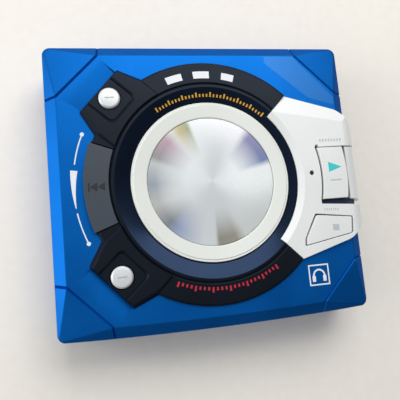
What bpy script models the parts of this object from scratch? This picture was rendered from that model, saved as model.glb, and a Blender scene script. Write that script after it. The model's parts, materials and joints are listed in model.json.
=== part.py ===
"""Pocket headphone player for small cartridge discs, as an assembly of separate pieces.

Units are metres, +Z is up and +Y is the hinge side. The origin is on the underside, below the
centre of the round bezel. A folding lid carries the keys, a cartridge holder swings with it at
half its angle, and the lower case holds the battery, the disc drive and the sockets.
"""

import math

import bmesh
import bpy
from mathutils import Matrix, Vector

MM = 0.001
GAP = 0.3 * MM

# Case: plan outline, wall and levels
CASE_HALF_WIDTH = 40.0 * MM
CASE_REAR = 36.4 * MM
CASE_FRONT = -35.9 * MM
CASE_CORNER = 2.0 * MM
FRONT_BOW = 0.8 * MM
WALL = 1.0 * MM
FLOOR = 1.0 * MM
FOOT_CHAMFER = 0.6 * MM
BASE_TOP = 9.2 * MM
LID_BOTTOM = BASE_TOP + GAP
SHOULDER_Z = 15.2 * MM
FACE_Z = 17.0 * MM
CHAMFER = 2.8 * MM
CEILING_Z = 15.9 * MM
CAVITY_Z = 14.8 * MM

# Corner facets of the lid and the grooves that bound them
FACET_SUM = 60.3 * MM
FACET_DROP = 1.7 * MM
GROOVE_WIDTH = 0.8 * MM

# Hinge at the rear
HINGE_Y = 34.3 * MM
HINGE_Z = 9.35 * MM
HINGE_SWEEP = 2.3 * MM
HINGE_BARREL = 2.0 * MM
HINGE_BARREL_BORE = 1.15 * MM
HINGE_LIP_START = 12
HINGE_LIP_END = -62
HINGE_EAR = 0.95 * MM
HINGE_ARM_REAR = 0.65 * MM
PIN_RADIUS = 0.5 * MM
PIN_HOLE = 0.58 * MM
PIN_INNER_X = 36.0 * MM
PIN_OUTER_X = 38.75 * MM
HOLDER_EAR_X = (36.2 * MM, 36.6 * MM)
LID_EAR_X = (37.0 * MM, 37.6 * MM)
BASE_EAR_X = (37.9 * MM, 38.7 * MM)

# Round bezel, trim ring and spun plate
DISC_RADIUS = 16.5 * MM
TRIM_INNER = 16.8 * MM
TRIM_OUTER = 20.6 * MM
CONE_INNER = 20.9 * MM
CONE_LOW_Z = 17.0 * MM
CONE_RISE = 0.295
BAND_RADIUS = 22.9 * MM
LIP_RADIUS = 24.6 * MM
BEZEL_GROOVE = 25.55 * MM
BEZEL_FLAT = 25.9 * MM
BEZEL_RADIUS = 31.3 * MM
BEZEL_TOP = 18.05 * MM
BEZEL_UNDER = FACE_Z + 0.25 * MM
BEZEL_BOSS = 23.6 * MM
BEZEL_FLOOR = (15.9 * MM, 16.5 * MM)
COVER_HOLE = 24.0 * MM
ROUND_STEPS = 72

# Volume pads, in polar form about the bezel centre
PAD_ANGLE = math.radians(138.0)
PAD_OUTER = 36.2 * MM
PAD_HALF = 7.3 * MM
PAD_ROOT = 29.6 * MM
PAD_ROOT_HALF = 9.5 * MM
PAD_INNER = 24.0 * MM
PAD_TOP = 18.5 * MM
PAD_DRAFT = 0.9 * MM
PAD_RECESS_HALF = 4.4 * MM
PAD_RECESS_INNER = 28.2 * MM
PAD_RECESS_DEPTH = 0.25 * MM
BUTTON_REACH = 32.75 * MM
BUTTON_RADIUS = 2.65 * MM
BUTTON_TOP = 19.0 * MM
KEY_SIDE_GAP = 0.3 * MM

# Keys: travel, undersides and the plungers that reach the key board
KEY_TRAVEL = 0.4 * MM
KEY_UNDER = FACE_Z + 0.55 * MM
PLUNGER_END = 15.8 * MM
PLUNGER_RADIUS = 1.1 * MM
PLUNGER_HOLE = 1.5 * MM
SKIP_HALF_ANGLE = 20.3
SKIP_INNER = 25.9 * MM
SKIP_OUTER = 31.9 * MM
SKIP_TOP = 18.15 * MM
SKIP_PLUNGER = (-28.9 * MM, 0.0)

# Control panel on the right
PANEL_ANGLE = 44.5
PANEL_INNER = 23.2 * MM
PANEL_TOP = 18.2 * MM
PANEL_BOTTOM = 10.0 * MM
PANEL_MAX_X = 41.8 * MM
PANEL_TIP = (22.1 * MM, 21.9 * MM)
PANEL_SHOULDER = (36.6 * MM, 17.7 * MM)
PANEL_CHEEK = (39.4 * MM, 15.4 * MM)
PANEL_BULGE = (41.2 * MM, 12.6 * MM)
PANEL_FLANK_Y = 10.4 * MM
PANEL_BEVEL_LOW = (18.6 * MM, 17.4 * MM)
PANEL_BEVEL_HIGH = (37.8 * MM, 14.2 * MM)
PANEL_BEVEL_SLOPE = 0.17
SIDE_CROWN = ((38.4, 18.2), (40.0, 17.6), (41.2, 16.2), (41.8, 14.2), (41.6, 12.0), (40.9, 10.0))
POCKET_RADIUS = 29.95 * MM
POCKET_TOP = 7.4 * MM
POCKET_SLOT_INNER = -8.0 * MM
POCKET_SLOT_OUTER = -9.1 * MM
PLAY_INNER = 30.25 * MM
PLAY_OUTER = 37.3 * MM
PLAY_TOP_Y = 7.1 * MM
PLAY_LOW_Y = -6.8 * MM
PLAY_TOP = 18.5 * MM
PLAY_PLUNGER = (33.6 * MM, 0.2 * MM)
STOP_CORNERS = ((27.0, -10.9), (37.0, -12.0), (36.5, -16.2), (23.4, -18.5), (23.6, -16.7))
STOP_CORNER_RADIUS = 0.4 * MM
STOP_TOP = 18.35 * MM
STOP_PLUNGER = (31.0 * MM, -14.6 * MM)
LAMP_PLACE = (27.2 * MM, 0.4 * MM)
LAMP_RADIUS = 0.45 * MM
LAMP_HOLE = 0.6 * MM

# Opening slider and its hook
SLIDER_INNER = 37.6 * MM
SLIDER_TOP_Y = 7.1 * MM
SLIDER_LOW_Y = -7.0 * MM
SLIDER_TRAVEL = 1.0 * MM
SLIDER_STEM_HALF = 2.0 * MM
SLIDER_STEM_Z = (11.2 * MM, 12.6 * MM)
HOOK_X = (37.3 * MM, 38.1 * MM)
HOOK_END = 7.7 * MM
HOOK_NOSE = 0.5 * MM

# Lid frame and key board
FRAME_Z = (14.0 * MM, 14.6 * MM)
FRAME_INSET = 1.4 * MM
BOARD_Z = (14.8 * MM, 15.1 * MM)
DOME_TOP = 15.3 * MM
DOME_RADIUS = 1.6 * MM

# Cartridge holder: the cartridge is 72 wide, 68 deep and 5 thick
CARTRIDGE = (72.0 * MM, 68.0 * MM, 5.0 * MM)
SHEET = 0.4 * MM
HOLDER_HALF = CARTRIDGE[0] / 2 + 0.2 * MM
HOLDER_LOW = 7.5 * MM
HOLDER_HIGH = HOLDER_LOW + 2 * SHEET + CARTRIDGE[2] + 0.4 * MM
HOLDER_REAR = 33.2 * MM
HOLDER_FRONT = HOLDER_REAR - CARTRIDGE[1] + 0.4 * MM
HOLDER_LIP = 6.0 * MM
HOLDER_WINDOW = (-13.0 * MM, 33.0 * MM, -12.0 * MM, 10.5 * MM)

# Disc drive
SPINDLE = (0.0, -0.8 * MM)
CHASSIS_Z = (6.6 * MM, 7.1 * MM)
CHASSIS_PLAN = (-20.5 * MM, 37.8 * MM, -14.2 * MM, 18.6 * MM)
DAMPER_PLACES = ((-17.5, 15.5), (-17.5, -12.0), (34.8, 15.5), (34.8, -12.0))
DAMPER_RADIUS = 1.8 * MM
DAMPER_Z = (4.5 * MM, 6.3 * MM)
POST_RADIUS = 1.5 * MM
POST_TOP = 4.2 * MM
SCREW_SHANK = 0.55 * MM
SCREW_HEAD = 1.2 * MM
SCREW_RECESS = 0.6 * MM
MOTOR_RADIUS = 7.4 * MM
MOTOR_Z = (2.3 * MM, 6.2 * MM)
TURNTABLE_RADIUS = 5.6 * MM
TURNTABLE_TOP = 7.85 * MM
ROD_Z = 4.4 * MM
ROD_X = (8.4 * MM, 37.3 * MM)
MAIN_ROD_Y = 6.6 * MM
MAIN_ROD_RADIUS = 0.75 * MM
SUB_ROD_Y = -8.2 * MM
SUB_ROD_RADIUS = 0.6 * MM
SLED_X = (9.6 * MM, 19.4 * MM)
SLED_Y = (-9.6 * MM, 8.4 * MM)
SLED_Z = (2.7 * MM, 6.2 * MM)
LENS_PLACE = (14.5 * MM, -0.8 * MM)
LENS_RADIUS = 2.0 * MM
LENS_TOP = 7.2 * MM
TAB_X = ((8.1 * MM, 8.7 * MM), (36.8 * MM, 37.4 * MM))
SCREW_Y = 11.0 * MM
SCREW_Z = 4.0 * MM
FEED_RADIUS = 0.7 * MM
GEAR_MODULE = 0.25 * MM
GEAR_TEETH = 16
PINION_TEETH = 8
GEAR_X = (5.0 * MM, 7.0 * MM)
GEAR_CENTRES = GEAR_MODULE * (GEAR_TEETH + PINION_TEETH) / 2 + 0.05 * MM
FEED_MOTOR_X = (-8.0 * MM, 4.2 * MM)
FEED_MOTOR_RADIUS = 2.25 * MM

# Main board, battery, sockets and the hold switch
MAIN_BOARD_Z = (1.5 * MM, 2.2 * MM)
MAIN_BOARD_PLAN = ((-36.8, -14.6), (-9.6, -14.6), (-9.6, 19.6), (36.4, 19.6), (36.4, 32.4), (-36.8, 32.4))
CHIPS = (
    ((-33.0, -22.0), (-4.0, 7.0), 3.4),
    ((-32.0, -25.0), (10.0, 16.0), 3.2),
    ((0.0, 9.0), (22.0, 30.0), 3.4),
    ((14.0, 20.0), (23.0, 28.0), 3.2),
    ((-12.0, -4.0), (21.5, 25.5), 3.0),
)
BATTERY = (67.0 * MM, 17.0 * MM, 5.7 * MM)
BATTERY_LOW = (-37.6 * MM, -33.6 * MM, 1.5 * MM)
DOOR_Y = (-33.9 * MM, -16.0 * MM)
DOOR_Z = (1.6 * MM, 7.7 * MM)
DOOR_AXIS = (-39.2 * MM, -16.75 * MM)
DOOR_KNUCKLE = 0.72 * MM
DOOR_PIN = 0.35 * MM
PHONES_Y = 24.0 * MM
PHONES_Z = 4.85 * MM
PHONES_BORE = 1.8 * MM
PHONES_COLLAR = 2.6 * MM
PHONES_HALF = 3.4 * MM
PHONES_LENGTH = 12.0 * MM
SOCKET_Z = (2.6 * MM, 7.0 * MM)
DC_X = -21.0 * MM
DC_Z = 4.8 * MM
DC_BORE = 1.75 * MM
DC_PIN = 0.55 * MM
DC_HALF = 3.2 * MM
DC_LENGTH = 8.0 * MM
HOLD_Y = 23.0 * MM
HOLD_Z = 5.0 * MM
HOLD_TRAVEL = 3.0 * MM
HOLD_CAP = (2.4 * MM, 1.4 * MM)
HOLD_CAP_X = (0.15 * MM, 0.9 * MM)
HOLD_RIB_PITCH = 1.3 * MM
HOLD_STEM_Y = 1.2 * MM
HOLD_STEM_Z = 0.4 * MM
HOLD_SLOT_HALF = 1.6 * MM
HOLD_SWITCH_X = (-4.4 * MM, -2.2 * MM)
HOLD_SWITCH_Z = (2.6 * MM, 6.4 * MM)


# Materials: colour, roughness and metallic value of each finish
FINISHES = {
    "blue_metal": ((0.004, 0.16, 0.62), 0.32, 0.6),
    "black_plastic": ((0.012, 0.017, 0.026), 0.4, 0.0),
    "silver_paint": ((0.82, 0.83, 0.8), 0.35, 0.3),
    "trim_metal": ((0.78, 0.79, 0.75), 0.3, 0.9),
    "spun_metal": ((0.6, 0.62, 0.64), 0.2, 1.0),
    "steel": ((0.5, 0.5, 0.5), 0.35, 1.0),
    "dark_steel": ((0.05, 0.05, 0.055), 0.4, 0.8),
    "board_green": ((0.01, 0.12, 0.05), 0.5, 0.0),
    "rubber": ((0.02, 0.02, 0.02), 0.8, 0.0),
    "white_plastic": ((0.75, 0.75, 0.72), 0.45, 0.0),
    "lamp_plastic": ((0.03, 0.03, 0.03), 0.15, 0.0),
    "battery_sleeve": ((0.35, 0.37, 0.38), 0.35, 0.3),
    "lens_glass": ((0.35, 0.45, 0.6), 0.05, 0.0),
}


def clear_scene():
    """Removes every object of the startup scene."""
    for item in list(bpy.data.objects):
        bpy.data.objects.remove(item, do_unlink=True)


def finish(name):
    """Returns the material of that finish, made the first time it is asked for."""
    found = bpy.data.materials.get(name)
    if found:
        return found
    colour, roughness, metallic = FINISHES[name]
    made = bpy.data.materials.new(name)
    made.use_nodes = True
    shader = made.node_tree.nodes["Principled BSDF"]
    shader.inputs["Base Color"].default_value = (*colour, 1.0)
    shader.inputs["Roughness"].default_value = roughness
    shader.inputs["Metallic"].default_value = metallic
    return made


def body_empty(name, place):
    """An empty on a moving body's joint axis, which carries that body's pieces."""
    empty = bpy.data.objects.new(name, None)
    empty.location = place
    bpy.context.scene.collection.objects.link(empty)
    bpy.context.view_layer.update()
    return empty


def piece(name, bm, finish_name=None, body=None, smooth=False):
    """Makes a named object of a bmesh, with its finish, carried by its body's empty."""
    bmesh.ops.recalc_face_normals(bm, faces=bm.faces)
    mesh = bpy.data.meshes.new(name)
    bm.to_mesh(mesh)
    bm.free()
    made = bpy.data.objects.new(name, mesh)
    bpy.context.scene.collection.objects.link(made)
    if finish_name:
        mesh.materials.append(finish(finish_name))
    if smooth:
        mesh.shade_smooth()
        mesh.set_sharp_from_angle(angle=math.radians(35))
    if body:
        made.parent = body
        made.matrix_parent_inverse = body.matrix_world.inverted()
    return made


def combine(target, operation, tools):
    """Applies Boolean steps to an object at once, and removes the tool objects."""
    for bm in tools:
        tool = piece("tool", bm)
        step = target.modifiers.new("step", "BOOLEAN")
        step.operation = operation
        step.solver = "EXACT"
        step.object = tool
        graph = bpy.context.evaluated_depsgraph_get()
        result = bpy.data.meshes.new_from_object(target.evaluated_get(graph))
        target.modifiers.clear()
        old = target.data
        target.data = result
        bpy.data.meshes.remove(old)
        bpy.data.objects.remove(tool, do_unlink=True)
    return target


def cut(target, *tools):
    """Removes the tools' volumes from an object."""
    return combine(target, "DIFFERENCE", tools)


def join(target, *tools):
    """Adds the tools' volumes to an object."""
    return combine(target, "UNION", tools)


def keep(target, *tools):
    """Keeps only what an object shares with each tool."""
    return combine(target, "INTERSECT", tools)


def taken(target):
    """Turns an object into a bmesh for a later step, and removes the object."""
    bm = bmesh.new()
    bm.from_mesh(target.data)
    bpy.data.objects.remove(target, do_unlink=True)
    return bm


def arc(centre, radius, start, end, steps):
    """Points of an arc in a plane, from start to end in degrees, both ends included."""
    turn = [math.radians(start + (end - start) * i / steps) for i in range(steps + 1)]
    return [(centre[0] + radius * math.cos(a), centre[1] + radius * math.sin(a)) for a in turn]


def rounded(corners, radius, steps=3):
    """A convex outline with its corners rounded, each by an arc of that radius."""
    points = []
    for i, corner in enumerate(corners):
        here = Vector(corner)
        to_last = (Vector(corners[i - 1]) - here).normalized()
        to_next = (Vector(corners[(i + 1) % len(corners)]) - here).normalized()
        half = to_last.angle(to_next) / 2
        centre = here + (to_last + to_next).normalized() * (radius / math.sin(half))
        first = here + to_last * (radius / math.tan(half)) - centre
        swing = first.angle_signed(here + to_next * (radius / math.tan(half)) - centre)
        for k in range(steps + 1):
            points.append(tuple(centre + Matrix.Rotation(-swing * k / steps, 2) @ first))
    return points


def rectangle(x0, x1, y0, y1):
    """The four corners of a rectangle."""
    return [(x0, y0), (x1, y0), (x1, y1), (x0, y1)]


def loft(sections):
    """A closed solid through outlines of equal point count, each a list of 3-D points."""
    bm = bmesh.new()
    rings = [[bm.verts.new(point) for point in section] for section in sections]
    for low, high in zip(rings, rings[1:]):
        for i in range(len(low)):
            j = (i + 1) % len(low)
            bm.faces.new((low[i], low[j], high[j], high[i]))
    bm.faces.new(rings[0])
    bm.faces.new(rings[-1])
    return bm


def prism(outline, low, high):
    """An outline in plan raised from one level to another."""
    return loft([[(x, y, z) for x, y in outline] for z in (low, high)])


def prism_along_y(outline, low, high):
    """An outline in X and Z drawn along Y."""
    return loft([[(x, y, z) for x, z in outline] for y in (low, high)])


def prism_along_x(outline, low, high):
    """An outline in Y and Z drawn along X."""
    return loft([[(x, y, z) for y, z in outline] for x in (low, high)])


def block(x, y, z):
    """A box between pairs of limits."""
    return prism(rectangle(x[0], x[1], y[0], y[1]), z[0], z[1])


def turned(profile, centre=(0.0, 0.0), steps=ROUND_STEPS):
    """A profile of radius and height turned about a vertical axis. Radius 0 closes the ends."""
    bm = bmesh.new()
    verts = [bm.verts.new((radius, 0.0, height)) for radius, height in profile]
    edges = [bm.edges.new(pair) for pair in zip(verts, verts[1:])]
    if profile[0][0] > 0:
        edges.append(bm.edges.new((verts[-1], verts[0])))
    bmesh.ops.spin(
        bm,
        geom=verts + edges,
        cent=(0.0, 0.0, 0.0),
        axis=(0.0, 0.0, 1.0),
        angle=math.tau,
        steps=steps,
        use_merge=True,
    )
    bmesh.ops.remove_doubles(bm, verts=bm.verts, dist=0.001 * MM)
    bmesh.ops.translate(bm, verts=bm.verts, vec=(*centre, 0.0))
    return bm


def disc(centre, radius, low, high, steps=24):
    """A plain upright cylinder."""
    return prism(arc(centre, radius, 0, 360 * (steps - 1) / steps, steps - 1), low, high)


def rod_x(centre, radius, low, high, steps=16):
    """A cylinder along X, centred on (y, z)."""
    return prism_along_x(arc(centre, radius, 0, 360 * (steps - 1) / steps, steps - 1), low, high)


def rod_y(centre, radius, low, high, steps=24):
    """A cylinder along Y, centred on (x, z)."""
    return prism_along_y(arc(centre, radius, 0, 360 * (steps - 1) / steps, steps - 1), low, high)


def sector(inner, outer, start, end, steps):
    """A ring sector in plan about the bezel centre."""
    return arc((0, 0), outer, start, end, steps) + arc((0, 0), inner, end, start, steps)


def both_sides(limits):
    """The limits of a right-hand piece along X, then those of its left-hand twin."""
    return limits, (-limits[1], -limits[0])


def case_outline(inset=0.0):
    """The case in plan, anticlockwise from the rear right corner, with a bowed front."""
    half = CASE_HALF_WIDTH - inset
    rear = CASE_REAR - inset
    front = CASE_FRONT + inset
    radius = max(CASE_CORNER - inset, 0.5 * MM)
    points = arc((half - radius, rear - radius), radius, 0, 90, 4)
    points += arc((radius - half, rear - radius), radius, 90, 180, 4)
    points += arc((radius - half, front + radius), radius, 180, 255, 4)
    for i in range(1, 10):
        x = (half - radius) * (i / 5 - 1)
        points.append((x, front - FRONT_BOW * (1 - (i / 5 - 1) ** 2)))
    points += arc((half - radius, front + radius), radius, 285, 360, 4)
    return points


def cover_envelope(gap=0.0):
    """The lid's outer form as a full solid, grown by a gap, before its corners are cut."""
    edge = case_outline(-gap)
    face = case_outline(CHAMFER - gap)
    levels = ((edge, LID_BOTTOM - gap), (edge, SHOULDER_Z + gap), (face, FACE_Z + gap))
    return loft([[(x, y, z) for x, y in outline] for outline, z in levels])


def corner_tip(side_x, side_y):
    """The case corner in that quadrant."""
    return Vector((side_x * CASE_HALF_WIDTH, CASE_REAR if side_y > 0 else CASE_FRONT))


def facet_plane(side_x, side_y):
    """A point and the outward normal of a lid corner's sloping facet."""
    tip = corner_tip(side_x, side_y)
    run = (abs(tip.x) + abs(tip.y) - FACET_SUM) / math.sqrt(2)
    slope = FACET_DROP / run / math.sqrt(2)
    point = Vector((side_x * FACET_SUM / 2, side_y * FACET_SUM / 2, FACE_Z))
    return point, Vector((side_x * slope, side_y * slope, 1.0)).normalized()


def slice_off(bm, point, normal):
    """Removes what lies beyond a plane and closes the cut."""
    geometry = bm.verts[:] + bm.edges[:] + bm.faces[:]
    made = bmesh.ops.bisect_plane(
        bm, geom=geometry, plane_co=point, plane_no=normal, dist=0.0001 * MM, clear_outer=True
    )
    edges = [item for item in made["geom_cut"] if isinstance(item, bmesh.types.BMEdge)]
    bmesh.ops.edgenet_fill(bm, edges=edges)
    bmesh.ops.recalc_face_normals(bm, faces=bm.faces)


def groove_bar(start, end, width):
    """A bar of square section on edge, which cuts a V groove along a line."""
    start, end = Vector(start), Vector(end)
    along = (end - start).normalized()
    side = along.cross(Vector((0, 0, 1))).normalized() * (width / 2)
    rise = side.cross(along).normalized() * (width / 2)
    start -= along * (width / 4)
    end += along * (width / 4)
    return loft([[point + side, point + rise, point - side, point - rise] for point in (start, end)])


def corner_grooves(side_x, side_y):
    """The three runs of a corner groove: along the facet and down both chamfers."""
    face_x = side_x * (CASE_HALF_WIDTH - CHAMFER)
    edge_x = side_x * CASE_HALF_WIDTH
    tip_y = corner_tip(side_x, side_y).y
    face_y = tip_y - side_y * CHAMFER
    bow = FRONT_BOW if side_y < 0 else 0.0
    at_side = (face_x, side_y * (FACET_SUM - abs(face_x)), FACE_Z)
    at_end = (side_x * (FACET_SUM - abs(face_y)), face_y - bow * 0.4, FACE_Z)
    down_side = (edge_x, at_side[1] - side_y * 0.5 * MM, SHOULDER_Z)
    down_end = (at_end[0] - side_x * 0.4 * MM, tip_y - bow * 0.4, SHOULDER_Z)
    runs = ((at_side, at_end), (at_side, down_side), (at_end, down_end))
    return [groove_bar(start, end, GROOVE_WIDTH) for start, end in runs]


def pad_point(reach, side, hand):
    """A point on a volume pad from its reach along the pad axis and its sideways offset."""
    along = Vector((math.cos(PAD_ANGLE), math.sin(PAD_ANGLE)))
    across = Vector((math.sin(PAD_ANGLE), -math.cos(PAD_ANGLE)))
    point = along * reach + across * side
    return (point.x, point.y * hand)


def pad_block(hand):
    """A raised volume pad with drafted sides."""
    low = ((PAD_OUTER, PAD_HALF), (PAD_ROOT, PAD_ROOT_HALF), (PAD_INNER, PAD_ROOT_HALF))
    high = [(reach - PAD_DRAFT / 2, side - PAD_DRAFT) for reach, side in low]
    sections = []
    for half, level in ((low, BEZEL_UNDER), (high, PAD_TOP)):
        outline = list(half) + [(reach, -side) for reach, side in reversed(half)]
        sections.append([(*pad_point(reach, side, hand), level) for reach, side in outline])
    return loft(sections)


def pad_recess(hand):
    """The shallow U-shaped recess round a volume button, open at the pad's outer end."""
    past = PAD_OUTER + 2 * MM
    corners = [
        (PAD_RECESS_INNER, -PAD_RECESS_HALF),
        (past, -PAD_RECESS_HALF),
        (past, PAD_RECESS_HALF),
        (PAD_RECESS_INNER, PAD_RECESS_HALF),
    ]
    outline = [pad_point(reach, side, hand) for reach, side in rounded(corners, 1.2 * MM)]
    return prism(outline, PAD_TOP - PAD_RECESS_DEPTH, PAD_TOP + 1 * MM)


def cone_height(radius):
    """Height of the dished cone that the bezel and the panel share."""
    return CONE_LOW_Z + CONE_RISE * (radius - CONE_INNER)


def ceiling_outline(inset=0.0):
    """The lid's inner ceiling in plan: a rectangle with slanted corners below the facets."""
    margin = 1.4 * CHAMFER + inset
    side = CASE_HALF_WIDTH - margin
    rear = CASE_REAR - margin
    front = CASE_FRONT + margin
    slant = FACET_SUM - 1.5 * MM - 1.4 * inset
    points = []
    for x, y in ((side, rear), (-side, rear), (-side, front), (side, front)):
        along_x = math.copysign(slant - abs(y), x)
        along_y = math.copysign(slant - abs(x), y)
        ends = [(x, along_y), (along_x, y)]
        points += ends if x * y > 0 else ends[::-1]
    return points


def hinge_barrel():
    """The lid's rolled rear edge: a lip that curls about the hinge axis, and its end discs."""
    centre = (HINGE_Y, HINGE_Z)
    outer = arc(centre, HINGE_BARREL, HINGE_LIP_START, HINGE_LIP_END, 8)
    lip = outer + arc(centre, HINGE_BARREL_BORE, HINGE_LIP_END, HINGE_LIP_START, 8)
    parts = [prism_along_x(lip, -LID_EAR_X[1], LID_EAR_X[1])]
    plan = case_outline(0.1 * MM)
    for x in both_sides((CASE_HALF_WIDTH - WALL, CASE_HALF_WIDTH)):
        end_disc = piece("end_disc", rod_x(centre, HINGE_BARREL, x[0], x[1], 32))
        keep(end_disc, prism(plan, HINGE_Z - HINGE_SWEEP, HINGE_Z + HINGE_SWEEP))
        parts.append(taken(end_disc))
    return parts


def top_cover(lid):
    """Blue pressed lid: chamfered edges, sloping corner facets, grooves and key holes."""
    bm = cover_envelope()
    for side_x in (1, -1):
        for side_y in (1, -1):
            slice_off(bm, *facet_plane(side_x, side_y))
    cover = piece("top_cover", bm, "blue_metal", lid)
    cut(cover, prism(case_outline(WALL), LID_BOTTOM - 1 * MM, CAVITY_Z))
    join(cover, *hinge_barrel())
    cut(cover, prism(ceiling_outline(), CAVITY_Z - 0.5 * MM, CEILING_Z))
    holes = [disc((0, 0), COVER_HOLE, CEILING_Z - 1 * MM, FACE_Z + 1 * MM, ROUND_STEPS)]
    for place in (SKIP_PLUNGER, PLAY_PLUNGER, STOP_PLUNGER, button_place(1), button_place(-1)):
        holes.append(disc(place, PLUNGER_HOLE, CEILING_Z - 1 * MM, FACE_Z + 1 * MM))
    holes.append(disc(LAMP_PLACE, LAMP_RADIUS + GAP, CEILING_Z - 1 * MM, FACE_Z + 1 * MM, 12))
    slot_y = (-SLIDER_STEM_HALF - SLIDER_TRAVEL - GAP, SLIDER_STEM_HALF + GAP)
    slot_z = (SLIDER_STEM_Z[0] - GAP, SLIDER_STEM_Z[1] + GAP)
    holes.append(block((CASE_HALF_WIDTH - 2 * WALL, CASE_HALF_WIDTH + WALL), slot_y, slot_z))
    cut(cover, *holes)
    for side_x in (1, -1):
        for side_y in (1, -1):
            cut(cover, *corner_grooves(side_x, side_y))


def button_place(hand):
    """Centre of the upper (1) or lower (-1) volume button."""
    return pad_point(BUTTON_REACH, 0.0, hand)


def ring_bezel(lid):
    """Black bezel: a dished ring with an outer flat, two volume pads and a key's gap."""
    profile = [
        (0.0, BEZEL_FLOOR[0]),
        (BEZEL_BOSS, BEZEL_FLOOR[0]),
        (BEZEL_BOSS, BEZEL_UNDER),
        (BEZEL_RADIUS, BEZEL_UNDER),
        (BEZEL_RADIUS, BEZEL_TOP - 0.5 * MM),
        (BEZEL_RADIUS - 0.5 * MM, BEZEL_TOP - 0.15 * MM),
        (BEZEL_FLAT, BEZEL_TOP),
        (BEZEL_GROOVE, BEZEL_TOP - 0.4 * MM),
        (BEZEL_GROOVE - 0.3 * MM, BEZEL_TOP),
        (LIP_RADIUS, cone_height(LIP_RADIUS)),
        (CONE_INNER, CONE_LOW_Z),
        (CONE_INNER, BEZEL_FLOOR[1]),
        (0.0, BEZEL_FLOOR[1]),
    ]
    bezel = piece("ring_bezel", turned(profile), "black_plastic", lid)
    for hand in (1, -1):
        pad = piece("pad", pad_block(hand))
        cut(pad, disc((0, 0), BEZEL_FLAT, FACE_Z, PAD_TOP + 1 * MM, ROUND_STEPS))
        join(bezel, taken(pad))
    key_gap = SKIP_HALF_ANGLE + 0.6
    past = BEZEL_RADIUS + 2 * MM
    low, high = FACE_Z + 0.1 * MM, PAD_TOP + 1 * MM
    key_sector = sector(BEZEL_FLAT - 0.1 * MM, past, 180 - key_gap, 180 + key_gap, 12)
    cut(bezel, prism(key_sector, low, high))
    clear = PANEL_ANGLE + 0.9
    cut(bezel, prism(sector(BAND_RADIUS, past + 2 * MM, -clear, clear, 24), low, high))
    for hand in (1, -1):
        cut(bezel, pad_recess(hand))
        cut(bezel, disc(button_place(hand), BUTTON_RADIUS + KEY_SIDE_GAP, FACE_Z, PAD_TOP + 1 * MM))
    bezel.data.shade_smooth()
    bezel.data.set_sharp_from_angle(angle=math.radians(20))


def centre_plates(lid):
    """The satin trim ring and the spun plate that lie in the bezel's dish."""
    low = BEZEL_FLOOR[1] + 0.25 * MM
    ring = [
        (TRIM_INNER, low),
        (TRIM_OUTER, low),
        (TRIM_OUTER, CONE_LOW_Z + 0.3 * MM),
        (TRIM_OUTER - 0.3 * MM, CONE_LOW_Z + 0.5 * MM),
        (TRIM_INNER + 0.3 * MM, CONE_LOW_Z + 0.5 * MM),
        (TRIM_INNER, CONE_LOW_Z + 0.3 * MM),
    ]
    piece("trim_ring", turned(ring), "trim_metal", lid, smooth=True)
    plate = [
        (0.0, low),
        (DISC_RADIUS, low),
        (DISC_RADIUS, CONE_LOW_Z + 0.1 * MM),
        (DISC_RADIUS - 0.2 * MM, CONE_LOW_Z + 0.25 * MM),
        (0.0, CONE_LOW_Z + 0.35 * MM),
    ]
    piece("disc_plate", turned(plate), "spun_metal", lid, smooth=True)


def side_crown(low_x, drop=0.0):
    """The rounded side section that the panel and the slider share, in X and Z."""
    crown = [(x * MM, z * MM - drop) for x, z in SIDE_CROWN[:-1]]
    foot = SIDE_CROWN[-1][0] * MM
    return [(low_x, PANEL_BOTTOM), (low_x, PANEL_TOP - drop)] + crown + [(foot, PANEL_BOTTOM)]


def panel_outline():
    """The silver panel in plan: a fan from the bezel that bulges past the case side."""
    upper = [PANEL_TIP, PANEL_SHOULDER, PANEL_CHEEK, PANEL_BULGE, (PANEL_MAX_X, PANEL_FLANK_Y)]
    lower = [(x, -y) for x, y in upper]
    return arc((0, 0), PANEL_INNER, PANEL_ANGLE, -PANEL_ANGLE, 24) + lower + upper[::-1]


def pocket_outline():
    """The opening that holds the play key and the slider, with the slot below them."""
    start = math.degrees(math.asin(POCKET_TOP / POCKET_RADIUS))
    end = math.degrees(math.asin(PLAY_LOW_Y / POCKET_RADIUS))
    past = PANEL_MAX_X + 2 * MM
    inner_x = POCKET_RADIUS * math.cos(math.radians(end))
    slot = [(inner_x, POCKET_SLOT_INNER), (past, POCKET_SLOT_OUTER), (past, POCKET_TOP)]
    return arc((0, 0), POCKET_RADIUS, start, end, 8) + slot


def stop_outline(grow=0.0):
    """The stop key in plan, grown outwards for its gap."""
    corners = [Vector((x * MM, y * MM)) for x, y in STOP_CORNERS]
    middle = sum(corners, Vector((0, 0))) / len(corners)
    grown = [tuple(corner + (corner - middle).normalized() * grow * 1.35) for corner in corners]
    return rounded(grown[::-1], STOP_CORNER_RADIUS)


def control_panel(lid):
    """Silver panel laid over the lid's right side, with openings for its keys."""
    panel = piece("control_panel", prism(panel_outline(), PANEL_BOTTOM, PANEL_TOP), "silver_paint", lid)
    reach = PANEL_TIP[1] + 2 * MM
    keep(panel, prism_along_y(side_crown(10 * MM), -reach, reach))
    cut(panel, cover_envelope(0.25 * MM))
    crease = CONE_INNER + (PANEL_TOP - CONE_LOW_Z) / CONE_RISE
    low_r = BAND_RADIUS - 1 * MM
    dish = [
        (low_r, cone_height(low_r)),
        (crease, PANEL_TOP),
        (crease, PANEL_TOP + 1 * MM),
        (low_r, PANEL_TOP + 1 * MM),
    ]
    cut(panel, turned(dish))
    cut(panel, bevel_wedge())
    low, high = FACE_Z - 8 * MM, PANEL_TOP + 1 * MM
    cut(panel, prism(pocket_outline(), low, high))
    cut(panel, prism(stop_outline(KEY_SIDE_GAP), low, high))
    cut(panel, disc(LAMP_PLACE, LAMP_HOLE, low, high, 12))


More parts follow.
